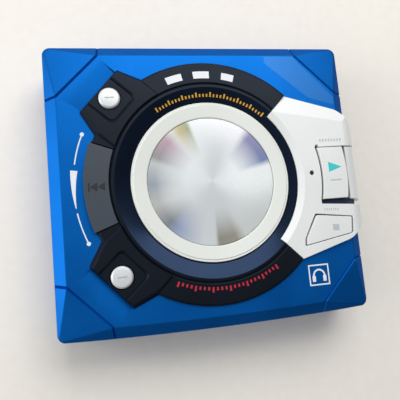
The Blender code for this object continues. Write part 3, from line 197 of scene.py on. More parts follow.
@dataclass(frozen=True)
class Finish:
    """A surface with fine mottling in its colour, its roughness and its height.

    The two colours are the lightest and darkest of the mottling, `grain` is its size in mm, and
    `cloud` the size in mm of a slow drift over the whole piece.
    """

    name: str
    light: str
    dark: str
    metallic: float = 0.0
    roughness: float = 0.4
    roughness_swing: float = 0.05
    grain: float = 0.25
    cloud: float = 14.0
    bump: float = 0.02
    coat: float = 0.0
    coat_roughness: float = 0.15
    ior: float | None = None
    tint: str = "#ffffff"

    def material(self) -> bpy.types.Material:
        """Finds the material, or makes it the first time it is asked for.

        Returns:
            The material.
        """
        found = bpy.data.materials.get(self.name)
        if found:
            return found
        made = bpy.data.materials.new(self.name)
        made.use_nodes = True
        tree = made.node_tree
        self.shade(tree, tree.nodes["Principled BSDF"])
        return made

    def shade(self, tree: bpy.types.NodeTree, shader: bpy.types.Node) -> None:
        """Builds the nodes of this finish.

        Args:
            tree: The material's node tree.
            shader: Its principled shader.
        """
        self.set_plain(shader)
        place = add_node(tree, "ShaderNodeTexCoord").outputs["Object"]
        fine = self.noise(tree, place, self.grain, 2.0)
        slow = self.noise(tree, place, self.cloud, 1.0)
        blend = add_node(tree, "ShaderNodeMath", {0: fine, 1: slow}, operation="ADD")
        half = add_node(tree, "ShaderNodeMath", {0: blend.outputs[0], 1: 0.5}, operation="MULTIPLY")
        ramp = add_node(tree, "ShaderNodeValToRGB", {"Fac": half.outputs[0]})
        set_stops(ramp, list(zip(NOISE_RANGE, (srgb(self.dark), srgb(self.light)))))
        tree.links.new(ramp.outputs["Color"], shader.inputs["Base Color"])
        self.link_roughness(tree, shader, slow)
        self.link_bump(tree, shader, fine)

    def set_plain(self, shader: bpy.types.Node) -> None:
        """Sets what is the same all over the surface on the shader's own sockets.

        Args:
            shader: The principled shader.
        """
        shader.inputs["Metallic"].default_value = self.metallic
        shader.inputs["Coat Weight"].default_value = self.coat
        shader.inputs["Coat Roughness"].default_value = self.coat_roughness
        shader.inputs["Specular Tint"].default_value = srgb(self.tint)
        if self.ior:
            shader.inputs["IOR"].default_value = self.ior

    @staticmethod
    def noise(
        tree: bpy.types.NodeTree, place: bpy.types.NodeSocket, size: float, detail: float
    ) -> bpy.types.NodeSocket:
        """Adds noise of a real size.

        Args:
            tree: The material's node tree.
            place: The coordinates it reads.
            size: Size of its spots in mm.
            detail: Octaves of finer noise.

        Returns:
            The noise value's socket.
        """
        settings = {"Vector": place, "Scale": per_mm(size), "Detail": detail}
        return add_node(tree, "ShaderNodeTexNoise", settings).outputs["Fac"]

    def link_roughness(
        self, tree: bpy.types.NodeTree, shader: bpy.types.Node, value: bpy.types.NodeSocket
    ) -> None:
        """Lets a pattern swing the roughness about its middle value.

        Args:
            tree: The material's node tree.
            shader: Its principled shader.
            value: The pattern's value.
        """
        least, most = NOISE_RANGE
        low, high = self.roughness - self.roughness_swing, self.roughness + self.roughness_swing
        settings = {"Value": value, "From Min": least, "From Max": most, "To Min": low, "To Max": high}
        swing = add_node(tree, "ShaderNodeMapRange", settings)
        tree.links.new(swing.outputs["Result"], shader.inputs["Roughness"])

    def link_bump(
        self, tree: bpy.types.NodeTree, shader: bpy.types.Node, height: bpy.types.NodeSocket
    ) -> None:
        """Lets a pattern raise the surface by the finish's bump.

        Args:
            tree: The material's node tree.
            shader: Its principled shader.
            height: The pattern's value.
        """
        settings = {"Height": height, "Strength": 1.0, "Distance": self.bump * MM}
        bump = add_node(tree, "ShaderNodeBump", settings)
        tree.links.new(bump.outputs["Normal"], shader.inputs["Normal"])


@dataclass(frozen=True)
class TurnedFinish(Finish):
    """A metal face turned on a lathe: fine rings about the bezel axis swing colour and height.

    `ring_pitch` is the rings' spacing in mm, `ring_share` their weight beside the slow drift, and
    `ring_range` the sums of the two that get the darkest and the lightest colour.
    """

    ring_pitch: float = 0.3
    ring_share: float = 0.25
    ring_range: Point = (0.3, 0.95)
    anisotropic: float = 0.0

    def shade(self, tree: bpy.types.NodeTree, shader: bpy.types.Node) -> None:
        """Builds the rings and, on the spun plate, its painted highlights, shade and reflections.

        Args:
            tree: The material's node tree.
            shader: Its principled shader.
        """
        self.set_plain(shader)
        shader.inputs["Anisotropic"].default_value = self.anisotropic
        place = add_node(tree, "ShaderNodeTexCoord").outputs["Object"]
        rings = add_node(
            tree,
            "ShaderNodeTexWave",
            {"Vector": place, "Scale": WAVE_LENGTH * per_mm(self.ring_pitch), "Distortion": 0.0},
            wave_type="RINGS",
            rings_direction="Z",
        )
        drift = self.noise(tree, place, self.cloud, 1.0)
        terms = {0: rings.outputs["Fac"], 1: self.ring_share, 2: drift}
        blend = add_node(tree, "ShaderNodeMath", terms, operation="MULTIPLY_ADD")
        ramp = add_node(tree, "ShaderNodeValToRGB", {"Fac": blend.outputs[0]})
        set_stops(ramp, list(zip(self.ring_range, (srgb(self.dark), srgb(self.light)))))
        # On the spun plate this paints highlights, shade and coloured reflections into the colour
        colour = self.paint_reflections(tree, place, ramp.outputs["Color"])
        tree.links.new(colour, shader.inputs["Base Color"])
        self.link_roughness(tree, shader, drift)
        self.link_bump(tree, shader, rings.outputs["Fac"])
        if self.anisotropic:
            tangent = add_node(tree, "ShaderNodeTangent", direction_type="RADIAL", axis="Z")
            tree.links.new(tangent.outputs["Tangent"], shader.inputs["Tangent"])

    def paint_reflections(
        self, tree: bpy.types.NodeTree, place: bpy.types.NodeSocket, colour: bpy.types.NodeSocket
    ) -> bpy.types.NodeSocket:
        """Paints no highlight or reflection: leaves the turned colour as it is."""
        return colour


@dataclass(frozen=True)
class SpunFinish(TurnedFinish):
    """A spun plate with painted highlights, shade and coloured reflections round its axis.

    The reflection fade holds the distances in mm from the model's origin where the painted
    sectors start to show and where they are full.
    """

    painted_reflection_fade: Point = (18.6, 22.6)

    def paint_reflections(
        self, tree: bpy.types.NodeTree, place: bpy.types.NodeSocket, colour: bpy.types.NodeSocket
    ) -> bpy.types.NodeSocket:
        """Multiplies in painted highlights, shade and reflections round the axis, fading inwards.

        Args:
            tree: The material's node tree.
            place: The coordinates it reads.
            colour: The turned colour.

        Returns:
            The wedged colour's socket.
        """
        # Painted highlights, shade and coloured reflections, fixed in sectors round the axis
        turn = add_node(tree, "ShaderNodeTexGradient", {"Vector": place}, gradient_type="RADIAL")
        painted_sectors = add_node(tree, "ShaderNodeValToRGB", {"Fac": turn.outputs["Fac"]})
        set_stops(painted_sectors, [(angle / 360, srgb(code)) for angle, code in SPUN_PAINTED_REFLECTIONS])
        reach = add_node(tree, "ShaderNodeVectorMath", {0: place}, operation="LENGTH")
        start, full = (distance * MM for distance in self.painted_reflection_fade)
        settings = {"Value": reach.outputs["Value"], "From Min": start, "From Max": full}
        fade = add_node(tree, "ShaderNodeMapRange", settings)
        mixed = add_node(
            tree,
            "ShaderNodeMix",
            {"Factor": fade.outputs["Result"], 6: colour, 7: painted_sectors.outputs["Color"]},
            data_type="RGBA",
            blend_type="MULTIPLY",
        )
        return mixed.outputs[2]


def ink(name: str, light: str, dark: str, roughness: float = 0.5) -> Finish:
    """A screen-printed ink: matt and a little uneven, with a fine grain."""
    return Finish(name, light, dark, roughness=roughness, grain=0.3, bump=0.002)


# Painted highlights, shade and coloured reflections of the spun plate: degrees round the axis from
# the left (-X), and the colour painted there
SPUN_PAINTED_REFLECTIONS = (
    (0, "#a8aeb8"),
    (20, "#d0cec8"),
    (40, "#9ea2a8"),
    (48, "#b0bce0"),
    (76, "#ffffff"),
    (88, "#ffffff"),
    (91, "#b2ac9e"),
    (108, "#b8b2a2"),
    (118, "#f4f4f0"),
    (192, "#ffffff"),
    (198, "#7888b4"),
    (226, "#9088b0"),
    (234, "#f4f0f4"),
    (286, "#f8f8f8"),
    (290, "#a6ae8a"),
    (300, "#d8c498"),
    (306, "#e8e4dc"),
    (314, "#ccaab8"),
    (334, "#aaa6a8"),
    (340, "#d8d8d8"),
    (360, "#a8aeb8"),
)

# Satin blue lacquer on pressed aluminium: fine flake with a soft blue gloss
BLUE_LACQUER = Finish(
    "blue_lacquered_aluminium", "#0666ba", "#0458a7", metallic=0.72, roughness=0.42, grain=0.3,
    bump=0.003, tint="#7fb0ea",
)
# ABS from a spark-eroded mould: an even fine grain that dulls the gloss
BLACK_ABS = Finish(
    "black_moulded_abs", "#0d121a", "#080b12", roughness=0.42, grain=0.35, bump=0.006, ior=1.34,
    tint="#c4d6f0",
)
# The same plastic where the mould is polished, inside the dish: it mirrors the window in blue
BLACK_GLOSS = Finish(
    "black_polished_abs", "#090e19", "#050910", roughness=0.16, grain=0.5, bump=0.001, ior=1.47,
    tint="#93bcff",
)
# Painted shade: a navy sheet in the play key's pocket and in the slot below the slider
PAINTED_SHADE_NAVY = Finish(
    "painted_shade_navy", "#10224a", "#0b193a", roughness=0.45, grain=0.35, bump=0.006, ior=1.45,
)
# The skip key's softer skin: slate grey, matt
SLATE_SKIN = Finish(
    "slate_soft_touch", "#39444f", "#303a45", roughness=0.5, grain=0.35, bump=0.006, ior=1.5,
)
# Pale silver paint on ABS: tiny flakes, soft sheen
SILVER_PAINT = Finish(
    "silver_painted_abs", "#f4f5f2", "#e9ebe8", metallic=0.1, roughness=0.45, grain=0.3, bump=0.003,
    ior=1.45,
)
# Bead-blasted and anodised aluminium: near white, no direction
SATIN_RING = TurnedFinish(
    "satin_anodised_aluminium", "#f1f3eb", "#e8eae2", metallic=0.1, roughness=0.7, ring_pitch=0.5,
    bump=0.002,
)
# Spun aluminium under lacquer: rings too fine to see, so they are drawn at 0.4 mm; its colour also
# holds painted highlights, shade and reflections in sectors round the axis
SPUN_PLATE = SpunFinish(
    "spun_lacquered_aluminium", "#f0f3f2", "#dfe3e4", metallic=0.28, roughness=0.26, ring_pitch=0.4,
    bump=0.002, anisotropic=0.75,
)
# Turned and polished button caps
CAP_METAL = Finish(
    "polished_aluminium", "#e8eae9", "#dadcdd", metallic=0.35, roughness=0.4, grain=0.4, bump=0.002,
)
# Zinc-plated steel sheet: slightly blue and cloudy
ZINC_STEEL = Finish(
    "zinc_plated_steel", "#c3c6c9", "#aeb2b6", metallic=1.0, roughness=0.4, roughness_swing=0.03,
    grain=0.8, cloud=6.0, bump=0.001,
)
# Motor cans and shafts: nickel-plated, brighter than the sheet
NICKEL_STEEL = Finish(
    "nickel_plated_steel", "#d6d4cd", "#b9b7b0", metallic=1.0, roughness=0.22, grain=0.5, cloud=5.0,
    bump=0.002,
)
# Die-cast alloy sled, as cast
CAST_ALLOY = Finish(
    "die_cast_alloy", "#5d6067", "#484b52", metallic=0.9, roughness=0.5, grain=0.5, bump=0.015,
)
# Solder resist over copper: glossy green with the copper areas a little lighter
SOLDER_RESIST = Finish(
    "solder_resist", "#1f7a4c", "#135c37", roughness=0.3, grain=0.9, cloud=4.0, bump=0.01, coat=0.4,
)
# Moulded white acetal: waxy, even
ACETAL = Finish("white_acetal", "#f1f0ea", "#e2e1da", roughness=0.4, grain=0.4, bump=0.004)
# Moulded nitrile rubber: black and dull
NITRILE = Finish("nitrile_rubber", "#26262a", "#17171a", roughness=0.75, grain=0.3, bump=0.01)
# Smoked acrylic, moulded and polished: dark and glossy
SMOKED_ACRYLIC = Finish(
    "smoked_acrylic", "#2c2c30", "#18181c", roughness=0.12, grain=0.3, bump=0.001, coat=0.5, ior=1.49,
)
# Moulded lens with a blue coating: mirror smooth
LENS_GLASS = Finish(
    "coated_lens", "#5c77b8", "#3c528c", roughness=0.06, grain=1.0, bump=0.0005, coat=1.0,
    coat_roughness=0.02, ior=1.52,
)
# Drawn can of the flat cell under a printed film: grey, half gloss
CELL_SLEEVE = Finish(
    "cell_sleeve", "#a9adb0", "#8f9397", metallic=0.4, roughness=0.35, grain=0.5, bump=0.003,
)
# Screen-printed inks, as the function above makes them
WHITE_INK = ink("white_ink", "#f6f8fa", "#e6eaee")
YELLOW_INK = ink("yellow_ink", "#e8b02a", "#d79b16")
RED_INK = ink("red_ink", "#c8203c", "#b0182e")
TURQUOISE_INK = ink("turquoise_ink", "#45d8d6", "#33c6c6", roughness=0.4)
GREY_INK = ink("grey_ink", "#b9bdbf", "#a8acae")
PALE_INK = ink("pale_grey_ink", "#c9ced0", "#bdc2c4")
DARK_INK = ink("dark_ink", "#15191f", "#0c1016")
# Printed blue film on the lid: as blue as the lacquer, duller
LABEL_BLUE = Finish(
    "matt_blue_label", "#1c6eb8", "#1562aa", metallic=0.6, roughness=0.42, grain=0.3, bump=0.003,
)

# Plain painted floor: pale, matt, almost even
PALE_FLOOR = Finish("pale_floor", "#fdf7ed", "#f8f1e5", roughness=0.8, grain=3.0, cloud=60.0, bump=0.0)

# Finishes of the frame's own pieces that are shown as they are
FRAME_FINISHES: tuple[tuple[Finish, tuple[str, ...]], ...] = (
    (BLACK_ABS, ("lid_frame", "headphone_jack", "dc_jack", "hold_switch")),
    (SMOKED_ACRYLIC, ("lamp_lens",)),
    (SOLDER_RESIST, ("key_board", "main_board")),
    (ZINC_STEEL, ("cartridge_holder", "chassis", "spindle_motor")),
    (ZINC_STEEL, tuple(f"case_screw_{number}" for number in range(1, 5))),
    (NICKEL_STEEL, ("hinge_pin_left", "hinge_pin_right", "door_pin", "battery_contact")),
    (NICKEL_STEEL, ("guide_rod_main", "guide_rod_second", "turntable", "feed_motor", "feed_screw")),
    (ACETAL, ("feed_gear", "motor_pinion")),
    (CAST_ALLOY, ("pickup_sled",)),
    (LENS_GLASS, ("objective_lens",)),
    (CELL_SLEEVE, ("battery",)),
    (NITRILE, tuple(f"damper_{number}" for number in range(1, 5))),
)


@dataclass
class Workshop:
    """Makes finished pieces out of meshes, and puts them on the frame's bodies."""

    nodes: dict[str, bpy.types.Object]
    made: list[str] = field(default_factory=list)

    def piece(
        self,
        name: str,
        bm: bmesh.types.BMesh,
        finish: Finish,
        body: Body,
        stands_for: Iterable[str] = (),
        sharp: float = 30.0,
    ) -> bpy.types.Object:
        """Makes an object of a mesh in millimetres and lets it ride on its body.

        Args:
            name: The piece's name.
            bm: Its mesh, which is used up.
            finish: Its finish.
            body: The body that carries it.
            stands_for: Frame nodes that it replaces.
            sharp: Edges sharper than this many degrees stay sharp.

        Returns:
            The object.
        """
        bmesh.ops.dissolve_degenerate(bm, dist=SLIVER, edges=bm.edges)
        many_sided = [face for face in bm.faces if len(face.verts) > 4]
        bmesh.ops.triangulate(bm, faces=many_sided, quad_method="BEAUTY", ngon_method="BEAUTY")
        bmesh.ops.scale(bm, vec=(MM, MM, MM), verts=bm.verts)
        mesh = bpy.data.meshes.new(name)
        bm.to_mesh(mesh)
        bm.free()
        mesh.shade_smooth()
        mesh.set_sharp_from_angle(angle=math.radians(sharp))
        mesh.materials.clear()
        mesh.materials.append(finish.material())
        made = bpy.data.objects.new(name, mesh)
        bpy.context.scene.collection.objects.link(made)
        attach(made, body.value)
        nodes = tuple(stands_for)
        if nodes:
            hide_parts(*nodes)
        if not isinstance(finish, TurnedFinish):
            flat_faces = made.modifiers.new("flat faces", "WEIGHTED_NORMAL")
            flat_faces.keep_sharp = True
        self.made.append(name)
        LOG.info("%s: %d faces on %s", name, len(mesh.polygons), body.value)
        return made

    def copied(self, node: str) -> bmesh.types.BMesh:
        """Copies a frame node's solid.

        Args:
            node: The node's name.

        Returns:
            The mesh in millimetres, with its flat faces whole.
        """
        bm = bmesh.new()
        bm.from_mesh(self.nodes[node].data)
        bmesh.ops.scale(bm, vec=(1 / MM, 1 / MM, 1 / MM), verts=bm.verts)
        return cleaned(bm, COPY_MERGE)


def carved(
    base: bmesh.types.BMesh, tools: Iterable[bmesh.types.BMesh], operation: str = "DIFFERENCE"
) -> bmesh.types.BMesh:
    """Combines a closed mesh with others, one after another.

    Args:
        base: The mesh that is worked on, which is used up.
        tools: The meshes that cut, join or bound it, which are used up.
        operation: DIFFERENCE, UNION or INTERSECT.

    Returns:
        The result.
    """
    for tool in tools:
        pair = []
        for bm in (base, tool):
            bmesh.ops.recalc_face_normals(bm, faces=bm.faces)
            mesh = bpy.data.meshes.new("carving")
            bm.to_mesh(mesh)
            bm.free()
            item = bpy.data.objects.new("carving", mesh)
            bpy.context.scene.collection.objects.link(item)
            pair.append(item)
        step = pair[0].modifiers.new("carve", "BOOLEAN")
        step.operation = operation
        step.solver = "EXACT"
        step.object = pair[1]
        shaped = pair[0].evaluated_get(bpy.context.evaluated_depsgraph_get())
        base = bmesh.new()
        base.from_mesh(shaped.data)
        for item in pair:
            mesh = item.data
            bpy.data.objects.remove(item, do_unlink=True)
            bpy.data.meshes.remove(mesh)
    return base


def round_corners(
    bm: bmesh.types.BMesh, radius: float, segments: int, only: Callable[[Vector], bool] | None = None
) -> None:
    """Rounds the corners of a flat face.

    Args:
        bm: The mesh with the face.
        radius: Run of the rounding along each edge in mm.
        segments: Edges across each corner.
        only: Says which corners, by place. All of them if left out.
    """
    corners = [v for v in bm.verts if only is None or only(v.co)]
    bmesh.ops.bevel(
        bm, geom=corners, offset=radius, offset_type="OFFSET", segments=segments, profile=0.5,
        affect="VERTICES", clamp_overlap=True, material=-1,
    )


def prism(
    points: Sequence[Point],
    low: float,
    high: float,
    axis: Axis = Axis.Z,
    rounding: float = 0.0,
    only: Callable[[Vector], bool] | None = None,
) -> bmesh.types.BMesh:
    """Makes a closed block of an outline drawn across an axis.

    Args:
        points: Corners in mm, in the two other directions in their order.
        low: Lower end along the axis in mm.
        high: Upper end along the axis in mm.
        axis: The direction it is extruded along.
        rounding: Run of the rounding of its corners in mm, or 0.
        only: Says which corners are rounded, by place. All of them if left out.

    Returns:
        The block.
    """
    bm = bmesh.new()
    first, second = [i for i in range(3) if i != axis.value]
    corners = []
    for point in points:
        place = Vector((low, low, low))
        place[first], place[second] = point
        corners.append(bm.verts.new(place))
    bm.faces.new(corners)
    if rounding:
        round_corners(bm, rounding, CORNER_STEPS, only)
    grown = bmesh.ops.extrude_face_region(bm, geom=bm.faces[:])
    along = Vector((0.0, 0.0, 0.0))
    along[axis.value] = high - low
    ends = [item for item in grown["geom"] if isinstance(item, bmesh.types.BMVert)]
    bmesh.ops.translate(bm, vec=along, verts=ends)
    bmesh.ops.recalc_face_normals(bm, faces=bm.faces)
    return bm


def round_edges(
    bm: bmesh.types.BMesh, width: float, segments: int, pick: Callable[[bmesh.types.BMEdge], bool]
) -> bmesh.types.BMesh:
    """Rounds chosen edges.

    Args:
        bm: The mesh.
        width: Width of the rounding in mm.
        segments: Faces across it.
        pick: Says which edges.

    Returns:
        The same mesh.
    """
    edges = [edge for edge in bm.edges if edge.is_manifold and pick(edge)]
    bmesh.ops.bevel(
        bm, geom=edges, offset=width, offset_type="OFFSET", segments=segments, profile=0.5,
        affect="EDGES", clamp_overlap=False, material=-1,
    )
    return bm


def rim(edge: bmesh.types.BMEdge) -> bool:
    """Tells whether an edge parts an upward face from a side.

    Args:
        edge: The edge.

    Returns:
        True for an outer edge of a top, unless it is too short to round.
    """
    least_rise, most_side, least_length = 0.8, 0.6, 0.05
    steepest = min(abs(face.normal.z) for face in edge.link_faces)
    upward = max(face.normal.z for face in edge.link_faces) > least_rise
    return edge.is_convex and upward and steepest < most_side and edge.calc_length() > least_length


def rectangle(xs: Point, ys: Point) -> list[Point]:
    """Corners of a rectangle in plan, from its two ends in each direction."""
    return [(xs[0], ys[0]), (xs[1], ys[0]), (xs[1], ys[1]), (xs[0], ys[1])]


def arc(radius: float, start: float, end: float, steps: int, centre: Point = (0.0, 0.0)) -> list[Point]:
    """Points of an arc in plan, both ends included.

    Args:
        radius: Radius in mm.
        start: First angle in degrees.
        end: Last angle in degrees.
        steps: Steps between them.
        centre: Its centre in mm.

    Returns:
        The points.
    """
    turns = [math.radians(start + (end - start) * i / steps) for i in range(steps + 1)]
    return [(centre[0] + radius * math.cos(a), centre[1] + radius * math.sin(a)) for a in turns]


def stroke(radius: float, turn: Point, widths: Point) -> list[Point]:
    """Draws a curved stroke about the bezel's axis.

    Args:
        radius: The radius of its middle in mm.
        turn: Its first and last angle in degrees.
        widths: Its widths at the two ends in mm.

    Returns:
        Its outline in plan.
    """
    steps = 24
    outer, inner = [], []
    for i in range(steps + 1):
        half = (widths[0] + (widths[1] - widths[0]) * i / steps) / 2
        angle = math.radians(turn[0] + (turn[1] - turn[0]) * i / steps)
        outer.append(((radius + half) * math.cos(angle), (radius + half) * math.sin(angle)))
        inner.append(((radius - half) * math.cos(angle), (radius - half) * math.sin(angle)))
    return outer + inner[::-1]


def tick(x: float, y: float, width: float, height: float) -> list[Point]:
    """A small upright block about a place in plan."""
    wide, tall = width / 2, height / 2
    return rectangle((x - wide, x + wide), (y - tall, y + tall))


def drum(centre: Point, radius: float, low: float, high: float, steps: int = 48) -> bmesh.types.BMesh:
    """Makes an upright cylinder.

    Args:
        centre: Its axis in plan, in mm.
        radius: Its radius in mm.
        low: Its lower level in mm.
        high: Its upper level in mm.
        steps: Sides round it.

    Returns:
        The mesh.
    """
    bm = bmesh.new()
    place = Matrix.Translation((centre[0], centre[1], (low + high) / 2))
    bmesh.ops.create_cone(
        bm, cap_ends=True, segments=steps, radius1=radius, radius2=radius, depth=high - low, matrix=place
    )
    return bm


def lathe(
    profile: Sequence[Point], rounding: float, steps: int, centre: Point = (0.0, 0.0), segments: int = 3
) -> bmesh.types.BMesh:
    """Turns a section about an upright axis, with its corners rounded.

    Args:
        profile: Corners of the section as radius and height in mm. On the axis the radius is 0.
        rounding: Run of each corner's rounding in mm.
        steps: Steps of the full turn.
        centre: The axis in plan, in mm.
        segments: Edges across each rounded corner.

    Returns:
        The closed solid.
    """
    bm = bmesh.new()
    bm.faces.new([bm.verts.new((radius, 0.0, height)) for radius, height in profile])
    round_corners(bm, rounding, segments, lambda co: co.x > SLIVER)
    on_axis = [e for e in bm.edges if all(v.co.x < SLIVER for v in e.verts)]
    bmesh.ops.delete(bm, geom=bm.faces[:], context="FACES_ONLY")
    bmesh.ops.delete(bm, geom=[e for e in on_axis if e.is_valid], context="EDGES")
    bmesh.ops.spin(
        bm, geom=bm.verts[:] + bm.edges[:], cent=(0, 0, 0), axis=(0, 0, 1), angle=math.tau, steps=steps,
        use_merge=True,
    )
    bmesh.ops.remove_doubles(bm, verts=bm.verts, dist=TURN_MERGE)
    bmesh.ops.recalc_face_normals(bm, faces=bm.faces)
    bmesh.ops.translate(bm, vec=(centre[0], centre[1], 0.0), verts=bm.verts)
    return bm


def stem(place: Point, top: float) -> bmesh.types.BMesh:
    """The stem under a key, which carries its press to the key board."""
    return drum(place, STEM_RADIUS, STEM_FOOT, top + STEM_OVERLAP, STEM_STEPS)


def cleaned(bm: bmesh.types.BMesh, merge: float = CARVE_MERGE) -> bmesh.types.BMesh:
    """Merges doubles and makes flat faces whole.

    Args:
        bm: The mesh.
        merge: Points closer than this become one, in mm.

    Returns:
        The same mesh.
    """
    bmesh.ops.remove_doubles(bm, verts=bm.verts, dist=merge)
    bmesh.ops.dissolve_limit(
        bm, angle_limit=math.radians(FLAT_ANGLE), use_dissolve_boundaries=False, verts=bm.verts,
        edges=bm.edges,
    )
    return bm


@dataclass
class CaseForm:
    """Plan and levels that the lid and the lower case share, in mm."""

    half_width: float = 40.0
    rear: float = 36.4
    front: float = -35.9
    corner: float = 2.0
    corner_least: float = 0.5
    corner_steps: int = 8
    front_turn: float = 75.0
    bow: float = 0.8
    bow_steps: int = 16

    def outline(self, inset: float = 0.0) -> list[Point]:
        """The case in plan, anticlockwise from the rear right corner.

        Args:
            inset: How far inside the case's own edge, in mm.

        Returns:
            Its points, as many at every inset.
        """
        half, rear, front = self.half_width - inset, self.rear - inset, self.front + inset
        radius = max(self.corner - inset, self.corner_least)
        reach = half - radius
        steps = self.corner_steps
        points = arc(radius, 0, 90, steps, (reach, rear - radius))
        points += arc(radius, 90, 180, steps, (-reach, rear - radius))
        points += arc(radius, 180, 180 + self.front_turn, steps, (-reach, front + radius))
        places = [2 * i / self.bow_steps - 1 for i in range(1, self.bow_steps)]
        points += [(reach * place, front - self.bow * (1 - place**2)) for place in places]
        return points + arc(radius, 360 - self.front_turn, 360, steps, (reach, front + radius))

    def block(self, low: float, high: float, inset: float = 0.0) -> bmesh.types.BMesh:
        """The case's plan drawn up between two levels."""
        return prism(self.outline(inset), low, high)


@dataclass
class TopCover:
    """Blue pressed lid with chamfered edges, sloping corner facets and the grooves round them."""

    form: CaseForm = field(default_factory=CaseForm)
    low: float = 9.5
    shoulder: float = 15.2
    face: float = 17.0
    chamfer: float = 2.8
    facet_sum: float = 60.3
    facet_drop: float = 1.7
    facet_wall: float = 1.5
    groove: float = 0.8
    groove_dip: float = 0.4
    groove_lean: Point = (0.5, 0.4)
    crease: float = 12.0
    edge: float = 0.18
    edge_steps: int = 4
    shoulder_edge: float = 0.1
    shoulder_edge_steps: int = 3
    sharp: float = 26.0
    wall: float = 1.0
    cavity: float = 14.8
    ceiling: float = 15.9
    ceiling_plan: tuple[float, float, float] = (36.08, 32.48, -31.98)
    hole: float = 24.0
    hole_steps: int = 96
    cut_top: float = 18.0
    hinge: Point = (34.3, 9.35)
    barrel: float = 2.0
    barrel_bore: float = 1.15
    lip_reach: float = 37.6
    lip_turn: Point = (12.0, -62.0)
    lip_steps: int = 12
    disc_steps: int = 48
    disc_room: Point = (6.0, 13.0)
    disc_inset: float = 0.1
    slot: tuple[Point, Point] = ((-3.3, 2.3), (10.9, 12.9))
    slot_reach: Point = (38.0, 42.0)
    scoop_angle: float = 138.0
    scoop_half: float = 6.8
    scoop_reach: Point = (35.4, 39.8)
    scoop_depth: float = 0.75
    scoop_over: float = 0.6
    stem_holes: tuple[Point, ...] = (
        (-28.9, 0.0), (33.6, 0.2), (31.0, -14.6), (-24.34, 21.91), (-24.34, -21.91),
    )
    stem_hole: float = 1.5
    lamp: Point = (27.2, 0.4)
    lamp_hole: float = 0.75

    def corner(self, side_x: int, side_y: int) -> Vector:
        """The case corner in a quadrant, in plan."""
        return Vector((side_x * self.form.half_width, self.form.rear if side_y > 0 else self.form.front))

    def envelope(self, gap: float = 0.0) -> bmesh.types.BMesh:
        """Raises the lid's full outer form: walls, chamfer and top.

        Args:
            gap: How far it is grown beyond the lid, in mm.

        Returns:
            The closed block.
        """
        bm = self.form.block(self.low - gap, self.shoulder + gap, -gap)
        level = self.shoulder + gap - LEVEL_MATCH
        lid = [face for face in bm.faces if face.calc_center_median().z > level]
        bmesh.ops.delete(bm, geom=lid, context="FACES_ONLY")
        ring = [edge for edge in bm.edges if edge.is_boundary]
        plan = self.form.outline(self.chamfer - gap)
        top = bm.faces.new([bm.verts.new((x, y, self.face + gap)) for x, y in plan])
        bmesh.ops.bridge_loops(bm, edges=ring + list(top.edges))
        bmesh.ops.recalc_face_normals(bm, faces=bm.faces)
        return bm

    def outer(self) -> bmesh.types.BMesh:
        """Slopes off the corners of the outer form and rounds its edges.

        Returns:
            The lid's outer form.
        """
        bm = self.envelope()
        for side_x in (1, -1):
            for side_y in (1, -1):
                self.slope_off(bm, side_x, side_y)
        bmesh.ops.remove_doubles(bm, verts=bm.verts, dist=CARVE_MERGE)
        bmesh.ops.recalc_face_normals(bm, faces=bm.faces)
        round_edges(bm, self.edge, self.edge_steps, self.is_upper_edge)
        return round_edges(bm, self.shoulder_edge, self.shoulder_edge_steps, self.is_shoulder)

    def slope_off(self, bm: bmesh.types.BMesh, side_x: int, side_y: int) -> None:
        """Cuts one corner down to its facet and closes the cut.

        Args:
            bm: The lid's outer form.
            side_x: 1 for the right, -1 for the left.
            side_y: 1 for the rear, -1 for the front.
        """
        tip = self.corner(side_x, side_y)
        run = (abs(tip.x) + abs(tip.y) - self.facet_sum) / math.sqrt(2)
        slope = self.facet_drop / run / math.sqrt(2)
        point = Vector((side_x * self.facet_sum / 2, side_y * self.facet_sum / 2, self.face))
        made = bmesh.ops.bisect_plane(
            bm, geom=bm.verts[:] + bm.edges[:] + bm.faces[:], dist=TURN_MERGE, plane_co=point,
            plane_no=Vector((side_x * slope, side_y * slope, 1.0)).normalized(), clear_outer=True,
        )
        edges = [item for item in made["geom_cut"] if isinstance(item, bmesh.types.BMEdge)]
        bmesh.ops.edgenet_fill(bm, edges=edges)
        bmesh.ops.recalc_face_normals(bm, faces=bm.faces)

    def is_upper_edge(self, edge: bmesh.types.BMEdge) -> bool:
        """Whether an edge parts a chamfer from the top or from a facet."""
        high = all(v.co.z > self.shoulder + 5 * LEVEL_MATCH for v in edge.verts)
        return high and edge.calc_face_angle(0.0) > math.radians(self.crease)

    def is_shoulder(self, edge: bmesh.types.BMEdge) -> bool:
        """Whether an edge parts a chamfer from a wall."""
        level = all(abs(v.co.z - self.shoulder) < LEVEL_MATCH for v in edge.verts)
        return level and edge.calc_face_angle(0.0) > math.radians(self.crease)

    def bar(self, start: Vector, end: Vector) -> bmesh.types.BMesh:
        """Makes a bar of square section on edge, which cuts a V groove along a line.

        Args:
            start: One end of the groove.
            end: Its other end.

        Returns:
            The cutting bar.
        """
        along = end - start
        bm = bmesh.new()
        size = self.groove / math.sqrt(2)
        bmesh.ops.create_cube(bm, size=1.0)
        bmesh.ops.scale(bm, vec=(along.length + self.groove / 2, size, size), verts=bm.verts)
        bmesh.ops.rotate(bm, verts=bm.verts, matrix=Matrix.Rotation(math.radians(45), 3, "X"))
        turn = along.to_track_quat("X", "Z").to_matrix()
        bmesh.ops.rotate(bm, verts=bm.verts, matrix=turn)
        bmesh.ops.translate(bm, verts=bm.verts, vec=(start + end) / 2)
        return bm

